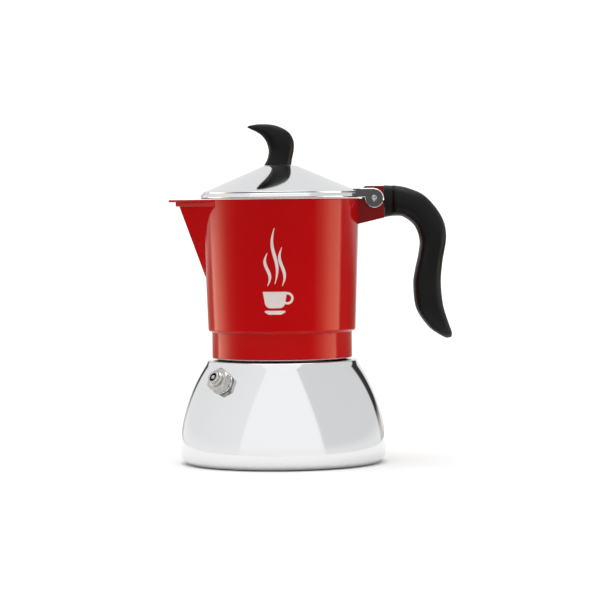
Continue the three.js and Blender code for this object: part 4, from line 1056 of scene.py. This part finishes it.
class MESH_OT_moka_knob(bpy.types.Operator):
    """Shape the claw-like knob and turn its insert, washer and screw"""

    bl_idname = "mesh.moka_knob"
    bl_label = "Knob"

    def execute(self, context):
        knob = grip("lid_knob_visual", KNOB_STATIONS, (0, 0, PAD_Z), squareness=2.6, sections=96)
        pocket = turned("pocket", [
            (0, PAD_Z - 1), (3.35, PAD_Z - 1), (3.35, PAD_Z + 7.55), (0, PAD_Z + 7.55),
        ], SCREW_SIDES)
        combined(knob, "DIFFERENCE", pocket)
        finish_piece(smooth(knob, 40), "lid", "nylon", "lid_knob")
        turned_part("knob_insert", [
            (1.95, 158.12, 0.3), (3.2, 158.12, 0.3), (3.2, 160.9), (2.8, 161.2), (2.8, 162), (3.2, 162.3),
            (3.2, 165.12, 0.3), (1.95, 165.12, 0.3),
        ], SCREW_SIDES, "lid", "brass")
        turned_part("knob_washer", [
            (1.95, 155.52, 0.2), (5, 155.52, 0.35), (5, 156.52, 0.2), (1.95, 156.52, 0.2),
        ], SCREW_SIDES, "lid", "zinc")
        screw = turned("knob_screw_visual", filleted([
            (0, 153.52), (2.5, 153.52), (3.2, 154.2, 0.5), (3.2, 155.32, 0.15), (1.8, 155.32), (1.8, 163.72, 0.4),
            (0, 163.72),
        ]), SCREW_SIDES)
        combined(
            screw, "DIFFERENCE",
            block("slot_a", (-0.4, -4, 152), (0.4, 4, 154.3)), block("slot_b", (-4, -0.4, 152), (4, 0.4, 154.3)),
        )
        finish_piece(smooth(screw), "lid", "zinc", "knob_screw")
        return {"FINISHED"}


# ---- Studio ----

CAMERA_PLACE = Vector((9.7, -1450, 136)) * MM
CAMERA_TARGET = Vector((9.7, 0, 86.3)) * MM
CAMERA_LENS = 164  # mm on a sensor 36 mm wide
CAMERA_ROLL = math.radians(-0.6)
FLOOR_RADIUS = 0.32
BACKDROP = 1.2
CEILING_LIGHT = 2.9
BRIGHTEST = 8.0
FLOOR_GLOW = 1.04
DIM = 0.08
WARM = (1, 0.82, 0.62, 1)
PANEL_LEAN = math.radians(18)
# Between two heights of a unit direction, a share that runs from one value to another.
GLOW = (0.0, 0.08, 0.6, 0.0)  # the floor's glow softens the foot of the panels
DEPTH = (-0.26, -0.2, 0.0, 1.0)  # past the floor's edge, under the strips, it is dim
LEVEL = (-0.05, -0.034, 0.0, 1.0)  # the strips stand under the panels
CEILING = (0.88, 0.92, 0.0, 1.0)
# Azimuth and brightness. The boiler and the lid mirror the upper ring, the enamel the lower one.
HIGH_RING = [
    (-180, 0.9), (-167, 0.9), (-164, 0.05), (-158, 0.05), (-155, 0.9), (-51, 1.0), (-48, 1.12), (46, 1.12),
    (49, 0.82), (128, 0.8), (142, 0.78), (145, 0.04), (157, 0.04), (160, 0.9), (180, 0.9),
]
LOW_RING = [
    (-180, 0.6), (-140, 0.3), (-131, 0.5), (-126, 4.0), (-105, 3.4), (-86, 0.9), (-70, 0.15), (-50, 0.06),
    (48, 0.06), (62, 2.0), (78, 5.5), (97, 6.0), (101, 0.3), (130, 0.1), (150, 0.3), (165, 0.7), (180, 0.6),
]


class MESH_OT_moka_studio(bpy.types.Operator):
    """Lay the pale floor, light the pot softly and stand the camera in front of it"""

    bl_idname = "mesh.moka_studio"
    bl_label = "Studio"

    def execute(self, context):
        self.floor()
        self.surroundings(context.scene)
        self.camera(context.scene)
        return {"FINISHED"}

    def floor(self):
        cleared()
        bpy.ops.mesh.primitive_circle_add(vertices=96, radius=FLOOR_RADIUS, fill_type="NGON")
        floor = named("studio_floor")
        editing()
        bpy.ops.mesh.inset(thickness=FLOOR_RADIUS / 2, depth=0)
        bpy.ops.object.mode_set(mode="OBJECT")
        floor.data.materials.append(FINISHES["paper"])

    def surroundings(self, scene):
        """A white room with broad soft panels and narrow dark gaps, painted on the world."""
        world = bpy.data.worlds.new("soft_studio")
        scene.world = world
        world.use_nodes = True
        tree = world.node_tree
        background = tree.nodes["Background"]
        direction = add(tree, "TexCoord").outputs["Generated"]
        parts = add(tree, "SeparateXYZ", {}, {"Vector": direction}).outputs
        behind = add(tree, "Math", {"operation": "MULTIPLY", 1: -1.0}, {0: parts["Y"]}).outputs[0]
        azimuth = add(tree, "Math", {"operation": "ARCTAN2"}, {0: parts["X"], 1: behind}).outputs[0]
        # The panels lean outwards towards the floor.
        side = add(tree, "Math", {"operation": "SIGN"}, {0: parts["X"]}).outputs[0]
        lean = add(tree, "Math", {"operation": "MULTIPLY"}, {0: side, 1: parts["Z"]}).outputs[0]
        leaning = add(tree, "Math", {"operation": "MULTIPLY_ADD", 1: PANEL_LEAN}, {0: lean, 2: azimuth}).outputs[0]
        circle = {"From Min": -math.pi, "From Max": math.pi}
        share = add(tree, "MapRange", circle, {"Value": leaning}).outputs["Result"]
        glow, depth, level, ceiling = (
            add(
                tree, "MapRange", {"From Min": start, "From Max": end, "To Min": low, "To Max": high},
                {"Value": parts["Z"]},
            ).outputs["Result"]
            for start, end, low, high in (GLOW, DEPTH, LEVEL, CEILING)
        )
        panels, strips = (self.ring(tree, share, stops) for stops in (HIGH_RING, LOW_RING))
        high = add(tree, "Mix", {"B": FLOOR_GLOW}, {"Factor": glow, "A": panels}).outputs["Result"]
        low = add(tree, "Mix", {"A": DIM}, {"Factor": depth, "B": strips}).outputs["Result"]
        mixed = add(tree, "Mix", {}, {"Factor": level, "A": low, "B": high}).outputs["Result"]
        lit = add(tree, "Mix", {"B": CEILING_LIGHT}, {"Factor": ceiling, "A": mixed}).outputs["Result"]
        seen = add(tree, "LightPath").outputs["Is Camera Ray"]
        shown = add(tree, "Mix", {"B": BACKDROP}, {"Factor": seen, "A": lit}).outputs["Result"]
        tree.links.new(shown, background.inputs["Strength"])
        # The strips near the floor are warmer than the panels.
        plain = add(tree, "Math", {"operation": "MAXIMUM"}, {0: level, 1: seen}).outputs[0]
        warmth = add(tree, "ValToRGB", {}, {"Fac": plain})
        warmth.color_ramp.elements[0].color = WARM
        warmth.color_ramp.elements[1].color = (1, 1, 1, 1)
        tree.links.new(warmth.outputs["Color"], background.inputs["Color"])
        scene.view_settings.view_transform = "Standard"

    def ring(self, tree, share, stops):
        """Brightness by azimuth in degrees, 0 in front of the pot and rising to its right. The tops of the
        ramp stand for BRIGHTEST times white."""
        ramp = add(tree, "ValToRGB", {}, {"Fac": share})
        elements = ramp.color_ramp.elements
        while len(elements) > 1:
            elements.remove(elements[0])
        for i, (angle, light) in enumerate(stops):
            place = (angle + 180) / 360
            stop = elements[0] if i == 0 else elements.new(place)
            stop.position = place
            stop.color = (*[light / BRIGHTEST] * 3, 1)
        tops = {"operation": "MULTIPLY", 1: BRIGHTEST}
        return add(tree, "Math", tops, {0: ramp.outputs["Color"]}).outputs[0]

    def camera(self, scene):
        data = bpy.data.cameras.new("studio_camera")
        data.lens = CAMERA_LENS
        data.sensor_width = 36
        data.clip_start = 0.01
        data.clip_end = 50
        camera = bpy.data.objects.new("studio_camera", data)
        scene.collection.objects.link(camera)
        aim = (CAMERA_TARGET - CAMERA_PLACE).to_track_quat("-Z", "Y").to_matrix().to_4x4()
        roll = Matrix.Rotation(CAMERA_ROLL, 4, "Z")
        camera.matrix_world = Matrix.Translation(CAMERA_PLACE) @ aim @ roll
        scene.camera = camera


# ---- Panel and running ----

PIECES = (
    MESH_OT_moka_boiler,
    MESH_OT_moka_valve,
    MESH_OT_moka_funnel,
    MESH_OT_moka_seal,
    MESH_OT_moka_collector,
    MESH_OT_moka_emblem,
    MESH_OT_moka_column,
    MESH_OT_moka_handle,
    MESH_OT_moka_pin,
    MESH_OT_moka_lid,
    MESH_OT_moka_knob,
    MESH_OT_moka_studio,
)


class VIEW3D_PT_moka(bpy.types.Panel):
    bl_label = "Moka Pot"
    bl_idname = "VIEW3D_PT_moka"
    bl_space_type = "VIEW_3D"
    bl_region_type = "UI"
    bl_category = "Moka Pot"

    def draw(self, context):
        layout = self.layout
        for group in (context.scene.moka_sizes, context.scene.moka_colours):
            for name in group.__annotations__:
                layout.prop(group, name)
        for piece in PIECES:
            layout.operator(piece.bl_idname)


CLASSES = (MokaSizes, MokaColours, *PIECES, VIEW3D_PT_moka)


def register():
    for cls in CLASSES:
        bpy.utils.register_class(cls)
    bpy.types.Scene.moka_sizes = PointerProperty(type=MokaSizes)
    bpy.types.Scene.moka_colours = PointerProperty(type=MokaColours)


def unregister():
    del bpy.types.Scene.moka_colours
    del bpy.types.Scene.moka_sizes
    for cls in reversed(CLASSES):
        bpy.utils.unregister_class(cls)


def main():
    register()
    make_finishes(bpy.context.scene.moka_colours)
    for piece in PIECES:
        group, name = piece.bl_idname.split(".")
        getattr(getattr(bpy.ops, group), name)()
    cleared()


if __name__ == "__main__":
    main()
